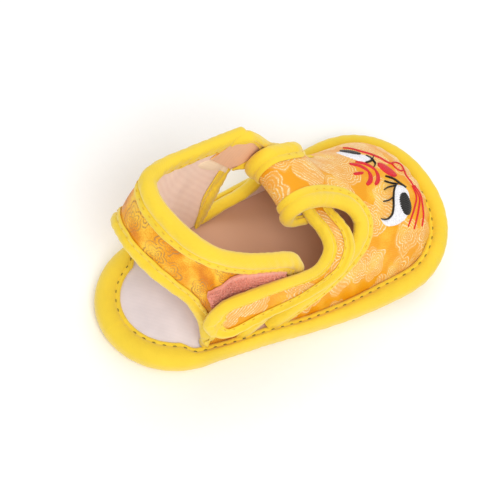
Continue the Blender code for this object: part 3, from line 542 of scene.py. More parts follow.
def sole_half_width(x):
    """Half width of the sole's outline at x: a superellipse at heel and toe, a sine rise between."""
    half = LENGTH / 2
    heel = np.clip((HEEL_ROUND - half - x) / HEEL_ROUND, 0, 1)
    toe = np.clip((x - half + TOE_ROUND) / TOE_ROUND, 0, 1)
    along = np.clip((x + half - HEEL_ROUND) / (LENGTH - HEEL_ROUND - TOE_ROUND), 0, 1)
    side = between(HEEL_HALF_WIDTH, BALL_HALF_WIDTH, np.sin(along * np.pi / 2)**WAIST_POWER)
    return side * (1 - heel**HEEL_POWER)**(1 / HEEL_POWER) * (1 - toe**TOE_POWER)**(1 / TOE_POWER)


def sole_outline(count):
    """Closed outline, evenly spaced, from the heel's back along the far side to the toe and back."""
    x = -LENGTH / 2 * np.cos(np.linspace(0, np.pi, OUTLINE_SAMPLES + 1))
    half = np.stack([x, sole_half_width(x)], axis=-1)
    ring = np.concatenate([half, (half * (1, -1))[::-1][1:]])
    length = lengths(ring)
    return along_line(np.linspace(0, length[-1], count, endpoint=False), length, ring)


def inset(ring, distance):
    """Closed outline moved inwards by a distance, one number or one for each point."""
    along = unit(np.roll(ring, -1, axis=0) - np.roll(ring, 1, axis=0))
    return ring + np.stack([along[:, 1], -along[:, 0]], axis=-1) * np.reshape(distance, (-1, 1))


def floor_lift(x):
    """Height of the sole's underside: lifted under the waist and towards the toe."""
    toe = np.clip((x - SPRING_START_X) / (LENGTH / 2 - SPRING_START_X), 0, None)
    waist = np.clip(1 - np.abs(x - WAIST_LIFT_X) / (WAIST_LIFT_LENGTH / 2), 0, 1)
    return TOE_SPRING * toe**2 + WAIST_LIFT * waist**2 * (3 - 2 * waist)


def feather_inset(x):
    """Inset of the upper's outer face from the sole's edge."""
    return curve(FEATHER_TABLE, x)[..., 0]


FINE_OUTLINE = sole_outline(OUTLINE_SAMPLES)
FEATHER_RING = inset(FINE_OUTLINE, feather_inset(FINE_OUTLINE[:, 0]))
FEATHER_FAR = FEATHER_RING[:OUTLINE_SAMPLES // 2 + 1]
TOE_TIP_X = FEATHER_FAR[:, 0].max()


def base_half_width(x):
    """Half width of the upper's outer face where it meets the insole."""
    return np.interp(x, FEATHER_FAR[:, 0], FEATHER_FAR[:, 1])


def last_rise(x):
    """Height of the last's section at x above the insole, closing to nothing at the toe tip."""
    toe = np.clip((x - DOME_START_X) / (TOE_TIP_X - DOME_START_X), 0, 1)
    return curve(RISE_TABLE, x)[..., 0] * (1 - toe**LAST_POWER)**(1 / LAST_POWER)


def last_height(x, y):
    """Height of the last's outer face over a plan point."""
    share = np.clip(np.abs(y) / np.maximum(base_half_width(x), TINY), 0, 1)
    return SOLE_TOP + floor_lift(x) + last_rise(x) * (1 - share**LAST_POWER)**(1 / LAST_POWER)


def last_normal(points):
    """Outward normals of the last: the gradient of its superellipse equation."""
    def level(p):
        x, y, z = np.moveaxis(p, -1, 0)
        across = np.abs(y) / np.maximum(base_half_width(x), LEAST_SIZE)
        up = np.clip(z - SOLE_TOP - floor_lift(x), 0, None) / np.maximum(last_rise(x), LEAST_SIZE)
        return across**LAST_POWER + up**LAST_POWER
    steps = PROBE * np.eye(3)
    return unit(np.stack([level(points + step) - level(points - step) for step in steps], axis=-1))


def last_surface(x, q):
    """Middle of the vamp's wall on the last at station x and share q, with its normal.

    The far wing leans in towards its free end.
    """
    x, q = np.broadcast_arrays(np.asarray(x, float), np.asarray(q, float))
    angle = np.clip(1 - np.abs(q), 0, 1) * np.pi / 2
    y = np.sign(q) * base_half_width(x) * np.cos(angle)**(2 / LAST_POWER)
    y = np.where(q > 0, y - FAR_LEAN * passing(x, FAR_LEAN_X) * smooth((1 - q) / FAR_LEAN_Q), y)
    z = SOLE_TOP + floor_lift(x) + last_rise(x) * np.sin(angle)**(2 / LAST_POWER)
    outer = np.stack([x, y, z], axis=-1)
    normal = last_normal(outer)
    return outer - normal * WALL / 2, normal


def above_sole(x, q):
    """The last's surface, kept clear of the sole's binding."""
    return last_surface(x, np.clip(q, -TAPE_LOWEST_Q, TAPE_LOWEST_Q))


def top_height(x, y):
    """Height of the vamp's outer face on top: the last's, passing over to the tab's own crown."""
    crown = curve(TAB_RIDGE_TABLE, x)[..., 0] - (y - TAB_CROWN_Y)**2 / (2 * TAB_CROWN_RADIUS)
    return between(last_height(x, y), crown, passing(x, (NOTCH_X, TAB_LIFT_X)))


def plan_surface(x, y):
    """Middle of the vamp's wall on top over a plan point, with its normal."""
    x, y = np.broadcast_arrays(np.asarray(x, float), np.asarray(y, float))
    rise_x = top_height(x + SLOPE_STEP, y) - top_height(x - SLOPE_STEP, y)
    rise_y = top_height(x, y + SLOPE_STEP) - top_height(x, y - SLOPE_STEP)
    normal = unit(np.stack([-rise_x, -rise_y, np.full_like(x, 2 * SLOPE_STEP)], axis=-1))
    return np.stack([x, y, top_height(x, y)], axis=-1) - normal * WALL / 2, normal


def tab_top(x, y):
    """Middle of the tab's top layer, with its normal in the long section."""
    middle, normal = plan_surface(x, y)
    return middle, unit(normal * (1, 0, 1))


TAB_FOLD_X = (TAB_FOLD_NEAR_X + TAB_FOLD_FAR_X) / 2
TAB_TOP_LENGTH = NOTCH_X - TAB_FOLD_X
FOLD_LENGTH = np.pi * TUNNEL_RADIUS
UNDER_LENGTH = TUNNEL_END_X - TAB_FOLD_X


def fold_x(share):
    """Station where the tab folds under, slanting from its near side to its far side."""
    return between(TAB_FOLD_NEAR_X, TAB_FOLD_FAR_X, share)


def tab_point(along, share):
    """Middle of the tab's wall: back along its top, round the fold, and forward underneath."""
    along, share = np.broadcast_arrays(along, share)
    under = (along - TAB_TOP_LENGTH - FOLD_LENGTH) / UNDER_LENGTH
    fold_at = fold_x(share)
    back = np.minimum(along / TAB_TOP_LENGTH, 1)
    x = np.where(under > 0, between(fold_at, TUNNEL_END_X, under), between(NOTCH_X, fold_at, back))
    sides = curve(TAB_SIDES_TABLE, np.where(under > 0, np.minimum(x, TAB_LIFT_X), x))
    y = between(sides[..., 0], sides[..., 1], share)
    top, normal = tab_top(x, y)[0], tab_top(fold_at, y)[1]
    turn = np.clip((along - TAB_TOP_LENGTH) / TUNNEL_RADIUS, 0, np.pi)[..., None]
    rearward = np.stack([-normal[..., 2], 0 * y, normal[..., 0]], axis=-1)
    fold = top - TUNNEL_RADIUS * (normal - np.cos(turn) * normal - np.sin(turn) * rearward)
    depth = np.interp(x, (TUNNEL_CLOSE_X, TUNNEL_END_X), (2 * TUNNEL_RADIUS, TUNNEL_END_DEPTH))
    return np.where((under > 0)[..., None], top - depth[..., None] * normal, fold)


def surface_of(point, probe):
    """A surface function with outward normals from a point function, by small steps both ways."""
    def surface(u, w):
        u, w = np.broadcast_arrays(np.asarray(u, float), np.asarray(w, float))
        along = point(u + probe[0], w) - point(u - probe[0], w)
        across = point(u, w + probe[1]) - point(u, w - probe[1])
        return point(u, w), unit(np.cross(across, along))
    return surface


def back_edges(station):
    """Wall edges of the quarters and heel band: the finished edges less the binding's roll."""
    row = curve(BACK_TABLE, station)
    low, top = row[..., :3], row[..., 3:]
    side = np.where(station < (BASE_STATIONS_NEAR + BASE_STATIONS_FAR) / 2, -1, 1)
    rim = unit(top - low) * ROLL
    base_y = side * (base_half_width(low[..., 0]) - WALL / 2)
    base = np.stack([low[..., 0], base_y, SOLE_TOP + floor_lift(low[..., 0])], axis=-1)
    band = low + rim
    band[..., 2] = np.maximum(band[..., 2], base[..., 2])
    past_base = np.minimum(station - BASE_STATIONS_NEAR, BASE_STATIONS_FAR - station)
    band[..., 1] = between(base_y, band[..., 1], smooth(past_base / BASE_BLEND_STATIONS))
    return np.where((past_base <= 0)[..., None], base, band), top - rim


def back_point(station, share):
    """Middle of the back's wall: between its low and top edge, bowed out, with soft waves along it."""
    station, share = np.broadcast_arrays(station, share)
    low, top = back_edges(station)
    ahead, behind = back_edges(station + STATION_STEP), back_edges(station - STATION_STEP)
    along = unit(ahead[0] + ahead[1] - behind[0] - behind[1])
    out = unit(np.cross(unit(top - low), along))
    bow = BACK_BULGE
    for wave, depth in BAND_WAVES:
        bow = bow + depth * np.sin(2 * np.pi * station * BAND_STATION / wave + BAND_WAVE_SLANT * share + wave)
    bow = bow * np.sin(np.pi * np.clip(share, 0, 1))
    return between(low, top, share[..., None]) + out * bow[..., None]


def strap_rows():
    """Finished edges of the strap, front then back, with the distance along it as first column."""
    tunnel = []
    for y, back_x, back_depth, front_x, front_depth in TUNNEL_ROWS_TABLE:
        normal = tab_top(TAB_FOLD_X, y)[1]
        back = tab_top(back_x, y)[0] - normal * back_depth
        front = tab_top(front_x, y)[0] - normal * front_depth
        tunnel.append([*back, *front])
    rows = np.array(list(STRAP_FAR_TABLE) + tunnel + list(STRAP_NEAR_TABLE))
    loop = slice(1, len(STRAP_FAR_TABLE))
    rows[loop] = (rows[:loop.stop - 1] + 4 * rows[loop] + rows[2:loop.stop + 1]) / 6
    along = lengths((rows[:, :3] + rows[:, 3:]) / 2)
    return np.column_stack([along, rows[:, 3:], rows[:, :3]])


STRAP_ROWS_TABLE = strap_rows()
STRAP_LENGTH = STRAP_ROWS_TABLE[-1, 0]


def strap_point(along, share):
    """Middle of the strap's wall, from its front edge to its back edge, inside the binding's roll."""
    along, share = np.broadcast_arrays(along, share)
    row = curve(STRAP_ROWS_TABLE, along)
    front, back = row[..., :3], row[..., 3:]
    roll = unit(back - front) * ROLL
    return between(front + roll, back - roll, share[..., None])


tab_surface = surface_of(tab_point, TAB_PROBE)
back_surface = surface_of(back_point, BACK_PROBE)
strap_surface = surface_of(strap_point, STRAP_PROBE)


def wing_rows(table, steps, end=WING_END):
    """Throat edge of one wing: x and q from the sole to the notch."""
    return curve(table, np.linspace(0, end, steps)).T


def feather_arc(start_x, count):
    """Points of the upper's base round the toe, from the near side at start_x to the far side."""
    far = FEATHER_FAR[FEATHER_FAR[:, 0] >= start_x]
    ring = np.concatenate([far * (1, -1), far[::-1][1:]])
    length = lengths(ring)
    return along_line(np.linspace(0, length[-1], count), length, ring)


def vamp_dome():
    """Outer points of the vamp from its throat down to the sole, one line for each throat station."""
    rows = np.linspace(0, 1, DOME_ROWS)

    def wing(table):
        x, q = wing_rows(table, WING_STEPS)
        lead = FEATHER_LEAD * np.linspace(0, 1, WING_STEPS)**2
        station = x[:, None] + lead[:, None] * rows
        share = between(q[:, None], np.sign(q)[:, None], rows)
        middle, normal = last_surface(station, share)
        return middle + normal * WALL / 2

    near, far = wing(NEAR_WING_TABLE), wing(FAR_WING_TABLE)[::-1]
    root = np.linspace(near[-1, 0, 1], far[0, 0, 1], ROOT_STEPS)
    base = feather_arc(NOTCH_X + FEATHER_LEAD, ROOT_STEPS)
    reach = np.sin(rows * np.pi / 2)[None, :, None]
    plan = np.stack([np.full(ROOT_STEPS, NOTCH_X), root], axis=-1)[:, None]
    plan = between(plan, base[:, None], reach)
    height = last_height(plan[..., 0], plan[..., 1])
    height[:, -1] = SOLE_TOP + floor_lift(plan[:, -1, 0])
    front = np.concatenate([plan, height[..., None]], axis=-1)
    return np.concatenate([near, front[1:-1], far])


def edge_rows(surface, u, w, along, inside, distances):
    """Points and normals of a surface at several distances in from an edge given by its parameters.

    A distance below zero lies straight out from the edge. The inside pair points into the wall;
    the rows run along it, or square to the edge if the edge's direction is given. A point in its
    place lets every row run straight to that point. The distances have one column for each row and
    one line for each place along the edge.
    """
    point, normal = surface(u, w)
    if len(inside) == 3:
        inward = unit(inside - point)
        points = point[:, None] + inward[:, None] * distances[..., None]
        return points, np.broadcast_to(normal[:, None], points.shape)
    step_u, step_w = EDGE_PROBE
    by_u = (surface(u + step_u, w)[0] - surface(u - step_u, w)[0]) / (2 * step_u)
    by_w = (surface(u, w + step_w)[0] - surface(u, w - step_w)[0]) / (2 * step_w)
    hint = by_u * np.reshape(inside[0], (-1, 1)) + by_w * np.reshape(inside[1], (-1, 1))
    inward = unit(hint)
    if along is not None:
        inward = unit(np.cross(normal, along))
        inward = inward * np.sign(np.sum(inward * hint, axis=-1, keepdims=True))
    uu, uw, ww = (np.sum(a * b, axis=-1) for a, b in ((by_u, by_u), (by_u, by_w), (by_w, by_w)))
    iu, iw = np.sum(by_u * inward, axis=-1), np.sum(by_w * inward, axis=-1)
    scale = uu * ww - uw**2
    du, dw = (ww * iu - uw * iw) / scale, (uu * iw - uw * iu) / scale
    points, normals = [], []
    for distance in distances.T:
        reach = np.maximum(distance, 0)
        gone = np.linalg.norm(surface(u + du * reach, w + dw * reach)[0] - point, axis=-1)
        reach = np.where(gone > TINY, reach * reach / np.maximum(gone, TINY), reach)
        found, facing = surface(u + du * reach, w + dw * reach)
        points.append(found + inward * np.minimum(distance, 0)[:, None])
        normals.append(facing)
    return np.stack(points, axis=1), np.stack(normals, axis=1)


def lifted(points):
    """Points of the sole raised by its toe spring and waist."""
    points = np.array(points, float)
    points[..., 2] += floor_lift(points[..., 0])
    return points


def index_grid(shape, first=0, wrap=False):
    """Running numbers of a grid's points; wrapped, the first column stands at its end again."""
    index = first + np.arange(shape[0] * shape[1]).reshape(shape[:2])
    return np.concatenate([index, index[:, :1]], axis=1) if wrap else index


def grid_quads(index):
    """Quads between neighbouring rows and columns of an index grid, or of many grids at once."""
    corners = [index[..., :-1, :-1], index[..., 1:, :-1], index[..., 1:, 1:], index[..., :-1, 1:]]
    return np.stack(corners, axis=-1).reshape(-1, 4)


def tube_faces(tubes):
    """Faces round many tubes and over their ends; the axes are tube, ring, side and xyz."""
    index = np.arange(tubes.size // 3).reshape(tubes.shape[:3])
    wrapped = np.concatenate([index, index[:, :, :1]], axis=2)
    return [*grid_quads(wrapped), *index[:, 0], *index[:, -1, ::-1]]


def shell_faces(quads, count):
    """Faces of a closed shell: outer quads, their inner twins count points on, and a rim along free edges."""
    edges = np.stack([quads, np.roll(quads, -1, axis=1)], axis=-1).reshape(-1, 2)
    free = edges[~np.isin(edges @ (count, 1), edges @ (1, count))]
    return np.concatenate([quads, quads[:, ::-1] + count, np.column_stack([free[:, ::-1], free + count])])


def soft_ring(ring):
    """Closed section with its corners cut a quarter in from both sides."""
    ahead = np.roll(ring, -1, axis=0)
    corners = np.stack([between(ring, ahead, 0.25), between(ring, ahead, 0.75)], axis=1)
    return corners.reshape(-1, *ring.shape[1:])


def eased(row):
    """Values along an edge with their corners rounded, ends kept."""
    row = np.array(row, float)
    for _ in range(CORNER_ROUNDS):
        row[1:-1] = (row[:-2] + 2 * row[1:-1] + row[2:]) / 4
    return row


def evenly(surface, rows):
    """Rows of an edge, its two parameters first, sampled again at even steps of length."""
    count = len(rows[0])
    fine = np.linspace(0, count - 1, FINE_STEPS * count)
    rows = [np.interp(fine, np.arange(count), np.broadcast_to(row, count)) for row in rows]
    length = lengths(surface(rows[0], rows[1])[0])
    at = np.linspace(0, length[-1], int(length[-1] / TAPE_STEP) + 2)
    return [np.interp(at, length, row) for row in rows]


def puckering(along, across):
    """Small slanting folds of a bias tape: three sines of odd lengths whose strength comes and goes."""
    fold = 0
    for wave, share in PUCKERS:
        wander = PUCKER_DRIFT[0] * np.sin(along / (PUCKER_DRIFT[1] * wave) + wave)
        strength = between(PUCKER_LEAST, 1, 0.5 + 0.5 * np.sin(along / PUCKER_FADE + wave))
        phase = 2 * np.pi * (along + PUCKER_SLANT * across + wander) / wave + wave
        fold = fold + share * strength * np.sin(phase)
    return fold / sum(share for _, share in PUCKERS)


def tape_profile(wall, arms, flange):
    """Section of a folded tape: a plump roll over the edge, and on both faces a crease and a flat flange."""
    rows = np.array(TAPE_SECTION)
    inward = rows[:, :3] @ (arms[0], arms[0] * (1 - flange), arms[1]) + rows[:, 3]
    return soft_ring(soft_ring(np.column_stack([inward, rows[:, 4] * wall / 2 + rows[:, 5]])))


def add_piece(name, points, faces, materials, uv=None, shades=None, merge=0.0):
    """Object of points in millimetres and faces, with outward normals, UV in millimetres and face materials.

    The UV is one pair for each point, or the two axes it is laid flat along.
    """
    mesh = bpy.data.meshes.new(name)
    places = (np.asarray(points).reshape(-1, 3) * MM).tolist()
    mesh.from_pydata(places, [], [list(map(int, face)) for face in faces])
    form = bmesh.new()
    form.from_mesh(mesh)
    if merge:
        bmesh.ops.remove_doubles(form, verts=form.verts, dist=merge * MM)
    bmesh.ops.recalc_face_normals(form, faces=form.faces)
    form.to_mesh(mesh)
    form.free()
    mesh.shade_smooth()
    mesh.set_sharp_from_angle(angle=np.radians(SHARP_ANGLE))
    if uv is not None:
        corner = np.empty(len(mesh.loops), dtype=np.int32)
        mesh.loops.foreach_get("vertex_index", corner)
        if len(uv) == 2:
            place = np.empty(3 * len(mesh.vertices), dtype=np.float32)
            mesh.vertices.foreach_get("co", place)
            uv = place.reshape(-1, 3)[:, uv] / MM
        layer = mesh.uv_layers.new(name="cloth")
        layer.uv.foreach_set("vector", np.asarray(uv, np.float32).reshape(-1, 2)[corner].ravel())
    for material in materials:
        mesh.materials.append(material)
    if shades is not None:
        mesh.polygons.foreach_set("material_index", np.asarray(shades, np.int32))
    item = bpy.data.objects.new(name, mesh)
    bpy.context.scene.collection.objects.link(item)
    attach(item, "root")
    return item


def add_wall(name, outer, inner, quads, materials, uv, turned=0):
    """Wall between an outer and an inner face that share their quads, closed along every free edge.

    The first quads, as many as turned says, show the second material outside and the first one inside.
    """
    outer, inner, uv = outer.reshape(-1, 3), inner.reshape(-1, 3), uv.reshape(-1, 2)
    faces = shell_faces(quads, len(outer))
    shades = np.zeros(len(faces), int)
    shades[:turned] = len(materials) - 1
    shades[len(quads) + turned:2 * len(quads)] = len(materials) - 1
    return add_piece(name, np.concatenate([outer, inner]), faces, materials, np.concatenate([uv, uv]), shades)


def add_sheet(name, surface, u, w, wall, materials, turned=0):
    """Wall of one thickness about a surface, over a grid of its two parameters, with UV by lengths on it."""
    middle, normal = surface(*np.meshgrid(u, w, indexing="ij"))
    half = normal * np.reshape(wall, (-1, 1, 1)) / 2
    run = lengths(middle[:, len(w) // 2])
    rise = np.cumsum(np.linalg.norm(np.diff(middle, axis=1, prepend=middle[:, :1]), axis=-1), axis=1)
    uv = np.stack([np.broadcast_to(run[:, None], rise.shape), rise - rise[:, -1:]], axis=-1)
    quads = grid_quads(index_grid(middle.shape))
    return add_wall(name, middle + half, middle - half, quads, materials, uv, turned * (len(w) - 1))


def add_sweep(name, sections, material, run, girth, closed=False):
    """Solid through closed sections, joined end to end in a ring or capped at both ends.

    Its UV is the distance along the run and the distance round the section.
    """
    index = index_grid(sections.shape, wrap=True)
    if closed:
        faces = grid_quads(np.concatenate([index, index[:1]]))
    else:
        faces = [*grid_quads(index), index[0, :-1], index[-1, -2::-1]]
    uv = np.stack(np.meshgrid(run, girth, indexing="ij"), axis=-1)
    return add_piece(name, sections, faces, [material], uv)


def add_tape(name, runs, wall, arms, sizes, material):
    """Bias tape folded over an edge: its section carried along the edge, with slanting puckers.

    Each run is a surface, its two parameters along the edge, the pair or point that leads into the wall,
    whether the tape lies square to the edge, and the shares of its outer arm, inner arm and plumpness.
    Returns the piece and the seam lines in its outer and its inner crease.
    """
    profile = tape_profile(wall, arms, sizes.tape_flange)
    inward, height = profile.T
    over = np.maximum(np.abs(height) - wall / 2, 0)
    edge = np.concatenate([run[0](run[1], run[2])[0] for run in runs])
    edge_along = unit(np.gradient(edge, axis=0))
    sections, facings, first = [], [], 0
    for surface, u, w, inside, square, outer, inner, plump in runs:
        along = edge_along[first:first + len(u)] if square else None
        outer, inner = (np.broadcast_to(share, len(u))[:, None] for share in (outer, inner))
        reach = np.where(inward > 0, np.where(height > 0, outer, inner), 1) * inward
        points, normals = edge_rows(surface, u, w, along, inside, reach)
        raised = height + over * np.sign(height) * (np.reshape(plump, (-1, 1)) - 1)
        sections.append(points + normals * raised[..., None])
        facings.append(normals)
        first += len(u)
    sections, facings = np.concatenate(sections), np.concatenate(facings)
    run = lengths(edge)
    shown = np.interp(over, PUCKER_HEIGHTS, (0, 1)) * np.sign(height)
    depth = puckering(run[:, None], inward) * shown * sizes.pucker_depth / MM
    sections = sections + facings * depth[..., None]
    tape = add_sweep(name, sections, material, run, lengths(profile))
    crease = arms[0] * (1 - sizes.tape_flange) + SEAM_BEYOND_CREASE
    outer = np.argmin(np.hypot(inward - crease, height - wall / 2 - SEAM_RISE))
    inner = np.argmin(np.hypot(inward - INNER_SEAM_SHARE * arms[1], height + wall / 2 + SEAM_RISE))
    return tape, (sections[:, outer], facings[:, outer]), (sections[:, inner], -facings[:, inner])


def add_stitches(name, line, sizes, material, skip=(0.0, 0.0), step=1.0):
    """Row of stitches along a line with normals: short bowed tubes of six sides, sunk at both ends."""
    points, normals = line
    run = lengths(points)
    pitch, long, thick = sizes.stitch_pitch / MM * step, sizes.stitch_length / MM, sizes.stitch_width / MM
    at = np.arange(skip[0] + pitch, run[-1] - skip[1] - pitch, pitch)
    place = along_line(at, run, points)
    facing = unit(along_line(at, run, normals))
    along = unit(along_line(at + STITCH_AHEAD, run, points) - place)
    side = unit(np.cross(facing, along))
    t = np.linspace(-1, 1, STITCH_RINGS)[None, :, None, None]
    turn = np.linspace(0, 2 * np.pi, STITCH_SIDES, endpoint=False)[None, None, :, None]
    radius = thick / 2 * np.sqrt(1 - STITCH_TAPER * t**2)
    arch = thick * (STITCH_ARCH[0] - STITCH_ARCH[1] * t**2)
    along, facing, side, place = (v[:, None, None, :] for v in (along, facing, side, place))
    raised = facing * (arch + radius * np.cos(turn))
    tubes = place + along * t * long / 2 + raised + side * radius * np.sin(turn)
    return add_piece(name, tubes, tube_faces(tubes), [material])


def linear(code):
    """Linear colour of an sRGB hex code."""
    value = np.array([int(code[i:i + 2], 16) for i in (1, 3, 5)]) / 255
    return tuple(np.where(value <= 0.04045, value / 12.92, ((value + 0.055) / 1.055)**2.4))


def wire(tree, kind, inputs=(), out=0, **settings):
    """Adds a node with its settings, sets or links its inputs, and gives one of its outputs."""
    made = tree.nodes.new("ShaderNode" + kind)
    for key, value in settings.items():
        setattr(made, key, value)
    for key, value in dict(inputs).items():
        if isinstance(value, bpy.types.NodeSocket):
            tree.links.new(value, made.inputs[key])
        else:
            made.inputs[key].default_value = value
    return made.outputs[out]


def begin(name, **constants):
    """New material with its shader's constant sockets set; gives the material, its tree and its shader."""
    material = bpy.data.materials.new(name)
    material.use_nodes = True
    tree = material.node_tree
    shader = tree.nodes["Principled BSDF"]
    for key, value in constants.items():
        shader.inputs[key.replace("_", " ")].default_value = value
    return material, tree, shader


def tint(colour, factor):
    """Colour made lighter or darker by a factor, with full opacity."""
    return (*[min(1.0, c * factor) for c in colour], 1.0)


def calc(tree, kind, *values):
    """Result of a math node."""
    return wire(tree, "Math", dict(enumerate(values)), operation=kind)


def span(tree, value, low, high, least=0.0):
    """Value whose range from low to high is spread from least to 1, and held beyond."""
    return wire(tree, "MapRange", {"Value": value, "From Min": low, "From Max": high, "To Min": least})


def noise(tree, place, size, detail):
    """Soft noise whose grains have a size in the units of the place."""
    return wire(tree, "TexNoise", {"Vector": place, "Scale": 1 / size, "Detail": detail}, out="Fac")


def waves(tree, place, scale, distortion, detail, across):
    """Bands of threads across one direction."""
    values = {"Vector": place, "Scale": scale, "Distortion": distortion, "Detail": detail}
    return wire(tree, "TexWave", values, bands_direction=across, out="Fac")


def tones(tree, factor, colour, dark, light, ends=(0.0, 1.0)):
    """Ramp from a darker to a lighter tint of a colour."""
    ramp = wire(tree, "ValToRGB", {"Fac": factor})
    for stop, place, share in zip(ramp.node.color_ramp.elements, ends, (dark, light)):
        stop.position, stop.color = place, tint(colour, share)
    return ramp


def bumps(tree, shader, height, strength, distance):
    """Link the bumps of a height, as deep as a distance in metres, to the shader."""
    bump = wire(tree, "Bump", {"Height": height, "Strength": strength, "Distance": distance})
    tree.links.new(bump, shader.inputs["Normal"])


def bias_tape(name, colour):
    """Woven cotton tape cut on the bias: matt, with a fine slanting weave and a soft bloom at its edges."""
    material, tree, shader = begin(name, Roughness=0.78, IOR=1.5, Sheen_Weight=0.35, Sheen_Roughness=0.5)
    uv = wire(tree, "TexCoord", out="UV")
    tone = tones(tree, noise(tree, uv, 14, 3.0), colour, 0.93, 1.04, (0.3, 0.7))
    tree.links.new(tone, shader.inputs["Base Color"])
    # Threads lie 0.3 mm apart; drawn 0.8 mm apart so that they show
    bumps(tree, shader, waves(tree, uv, SLANT_RIB / 0.8, 1.0, 1.0, "DIAGONAL"), 0.25, 0.0001)
    return material


def plain_cloth(name, colour, front=None):
    """Cloth of the table with one set of fine ribs over a slightly uneven colour.

    With a front colour, the cloth turns to it towards the toe: a painted shade, darker and warmer, where the
    upper shades it.
    """
    spacing, across, depth, roughness, sheen = CLOTHS[name]
    material, tree, shader = begin(name, Roughness=roughness, IOR=1.5, Sheen_Weight=sheen,
                                   Sheen_Roughness=0.5)
    uv = wire(tree, "TexCoord", out="UV")
    scale = (SLANT_RIB if across == "DIAGONAL" else RIB) / spacing
    ribs = waves(tree, uv, scale, 0.15, 0.0, across)
    both = calc(tree, "MULTIPLY_ADD", ribs, depth, noise(tree, uv, 9, 4.0))
    tone = tones(tree, span(tree, both, 0.3, 0.7 + depth), colour, 0.9, 1.05)
    # Painted shade: towards the toe the cloth is mixed into the darker, warmer front colour
    if front:
        along = wire(tree, "SeparateXYZ", {0: uv})
        ends = {"From Min": PAINTED_SHADE_X[0], "From Max": PAINTED_SHADE_X[1]}
        along = wire(tree, "MapRange", {"Value": along, **ends}, interpolation_type="SMOOTHSTEP")
        tone = wire(tree, "MixRGB", {"Fac": along, "Color1": tone, "Color2": (*front, 1)})
    tree.links.new(tone, shader.inputs["Base Color"])
    bumps(tree, shader, both, 0.3, 0.00015)
    return material


def brocade(name, grounds_with_painted_light, motif, line, motif_size, contour, scrolls, warp, spread):
    """Silk brocade: glossy satin ground with soft painted lights, and clouds drawn in raised paler threads.

    Each cloud of the pattern is a curl of contour threads, or else a leaf hatched with slanting threads;
    scrolls is the share of curls, warp how far the clouds are bent, and spread how far the ground's
    colours, from painted shade to painted shine, pass over into each other.
    """
    material, tree, shader = begin(name, Roughness=0.4, IOR=1.54, Specular_IOR_Level=0.22, Anisotropic=0.4)
    uv = wire(tree, "TexCoord", out="UV")
    # The whole pattern is bent by waves of 8 mm
    bend = wire(tree, "TexNoise", {"Vector": uv, "Scale": 1 / 8, "Detail": 3.0}, out="Color")
    bend = wire(tree, "VectorMath", {0: bend, 1: (0.5, 0.5, 0.5)}, operation="SUBTRACT")
    bend = wire(tree, "VectorMath", {0: bend, 1: (warp, warp, 0.0), 2: uv}, operation="MULTIPLY_ADD")
    centre = wire(tree, "TexVoronoi", {"Vector": bend, "Scale": 1 / motif_size, "Randomness": 0.85},
                  out="Position", voronoi_dimensions="2D")
    pick = wire(tree, "SeparateColor", {"Color": centre.node.outputs["Color"]})
    curl = calc(tree, "LESS_THAN", pick, scrolls)
    local = wire(tree, "VectorMath", {0: bend, 1: centre}, operation="SUBTRACT")
    reach = wire(tree, "VectorMath", {0: local}, out="Value", operation="LENGTH")
    x, y = wire(tree, "SeparateXYZ", {0: local}).node.outputs[:2]
    angle = calc(tree, "ARCTAN2", y, x)
    # Scalloped outline of each cloud: five lobes
    lobes = calc(tree, "ABSOLUTE", calc(tree, "SINE", calc(tree, "MULTIPLY", angle, 2.5)))
    limit = calc(tree, "MULTIPLY_ADD", lobes, 0.12 * motif_size, 0.42 * motif_size)
    depth = calc(tree, "SUBTRACT", limit, reach)
    inside = span(tree, depth, -0.1, 0.1)
    # Contour threads of the curls, winding in by one turn
    turns = calc(tree, "SINE", calc(tree, "MULTIPLY_ADD", depth, 2 * np.pi / contour, angle))
    turns = span(tree, turns, 0.2, 0.55)
    # Hatching of the leaves, threads 1.1 mm apart; the real ones are finer than the picture shows
    hatch = waves(tree, bend, SLANT_RIB / 1.1, 1.2, 1.0, "DIAGONAL")
    hatch.node.inputs["Detail Scale"].default_value = 0.3
    hatch = span(tree, hatch, 0.35, 0.75, 0.12)
    drawn = wire(tree, "MixRGB", {"Fac": curl, "Color1": hatch, "Color2": turns})
    # The threads end at the outline, dive under the ground in grains of 0.5 mm, and fade over 5 mm
    grain = noise(tree, uv, 0.5, 1.0)
    broken = span(tree, grain, 0.36, 0.56, 0.25)
    faded = span(tree, noise(tree, uv, 5, 1.0), 0.36, 0.56, 0.35)
    for share in (inside, broken, faded):
        drawn = calc(tree, "MULTIPLY", drawn, share)
    # Painted light on the satin ground: broad painted highlights and painted shade of 11 mm, and a finer
    # painted glint in the same grains
    cloud = calc(tree, "MULTIPLY_ADD", grain, 0.3, noise(tree, uv, 11, 2.0))
    satin = wire(tree, "ValToRGB", {"Fac": cloud})
    ramp = satin.node.color_ramp.elements
    ramp.new(0.5)
    for stop, place, colour in zip(ramp, (0.64 - spread, 0.64, 0.64 + spread), grounds_with_painted_light):
        stop.position, stop.color = place, (*colour, 1)
    veil = calc(tree, "MULTIPLY", inside, 0.12)
    wash = wire(tree, "MixRGB", {"Fac": veil, "Color1": satin, "Color2": (*motif, 1)})
    colour = wire(tree, "MixRGB", {"Fac": drawn, "Color1": wash, "Color2": (*line, 1)})
    tree.links.new(colour, shader.inputs["Base Color"])
    # Warp floats of the satin, 0.25 mm apart, drawn 0.7 mm apart so that they show
    floats = waves(tree, uv, RIB / 0.7, 0.6, 1.0, "Y")
    bumps(tree, shader, calc(tree, "MULTIPLY_ADD", floats, 0.25, drawn), 0.5, 0.00025)
    return material


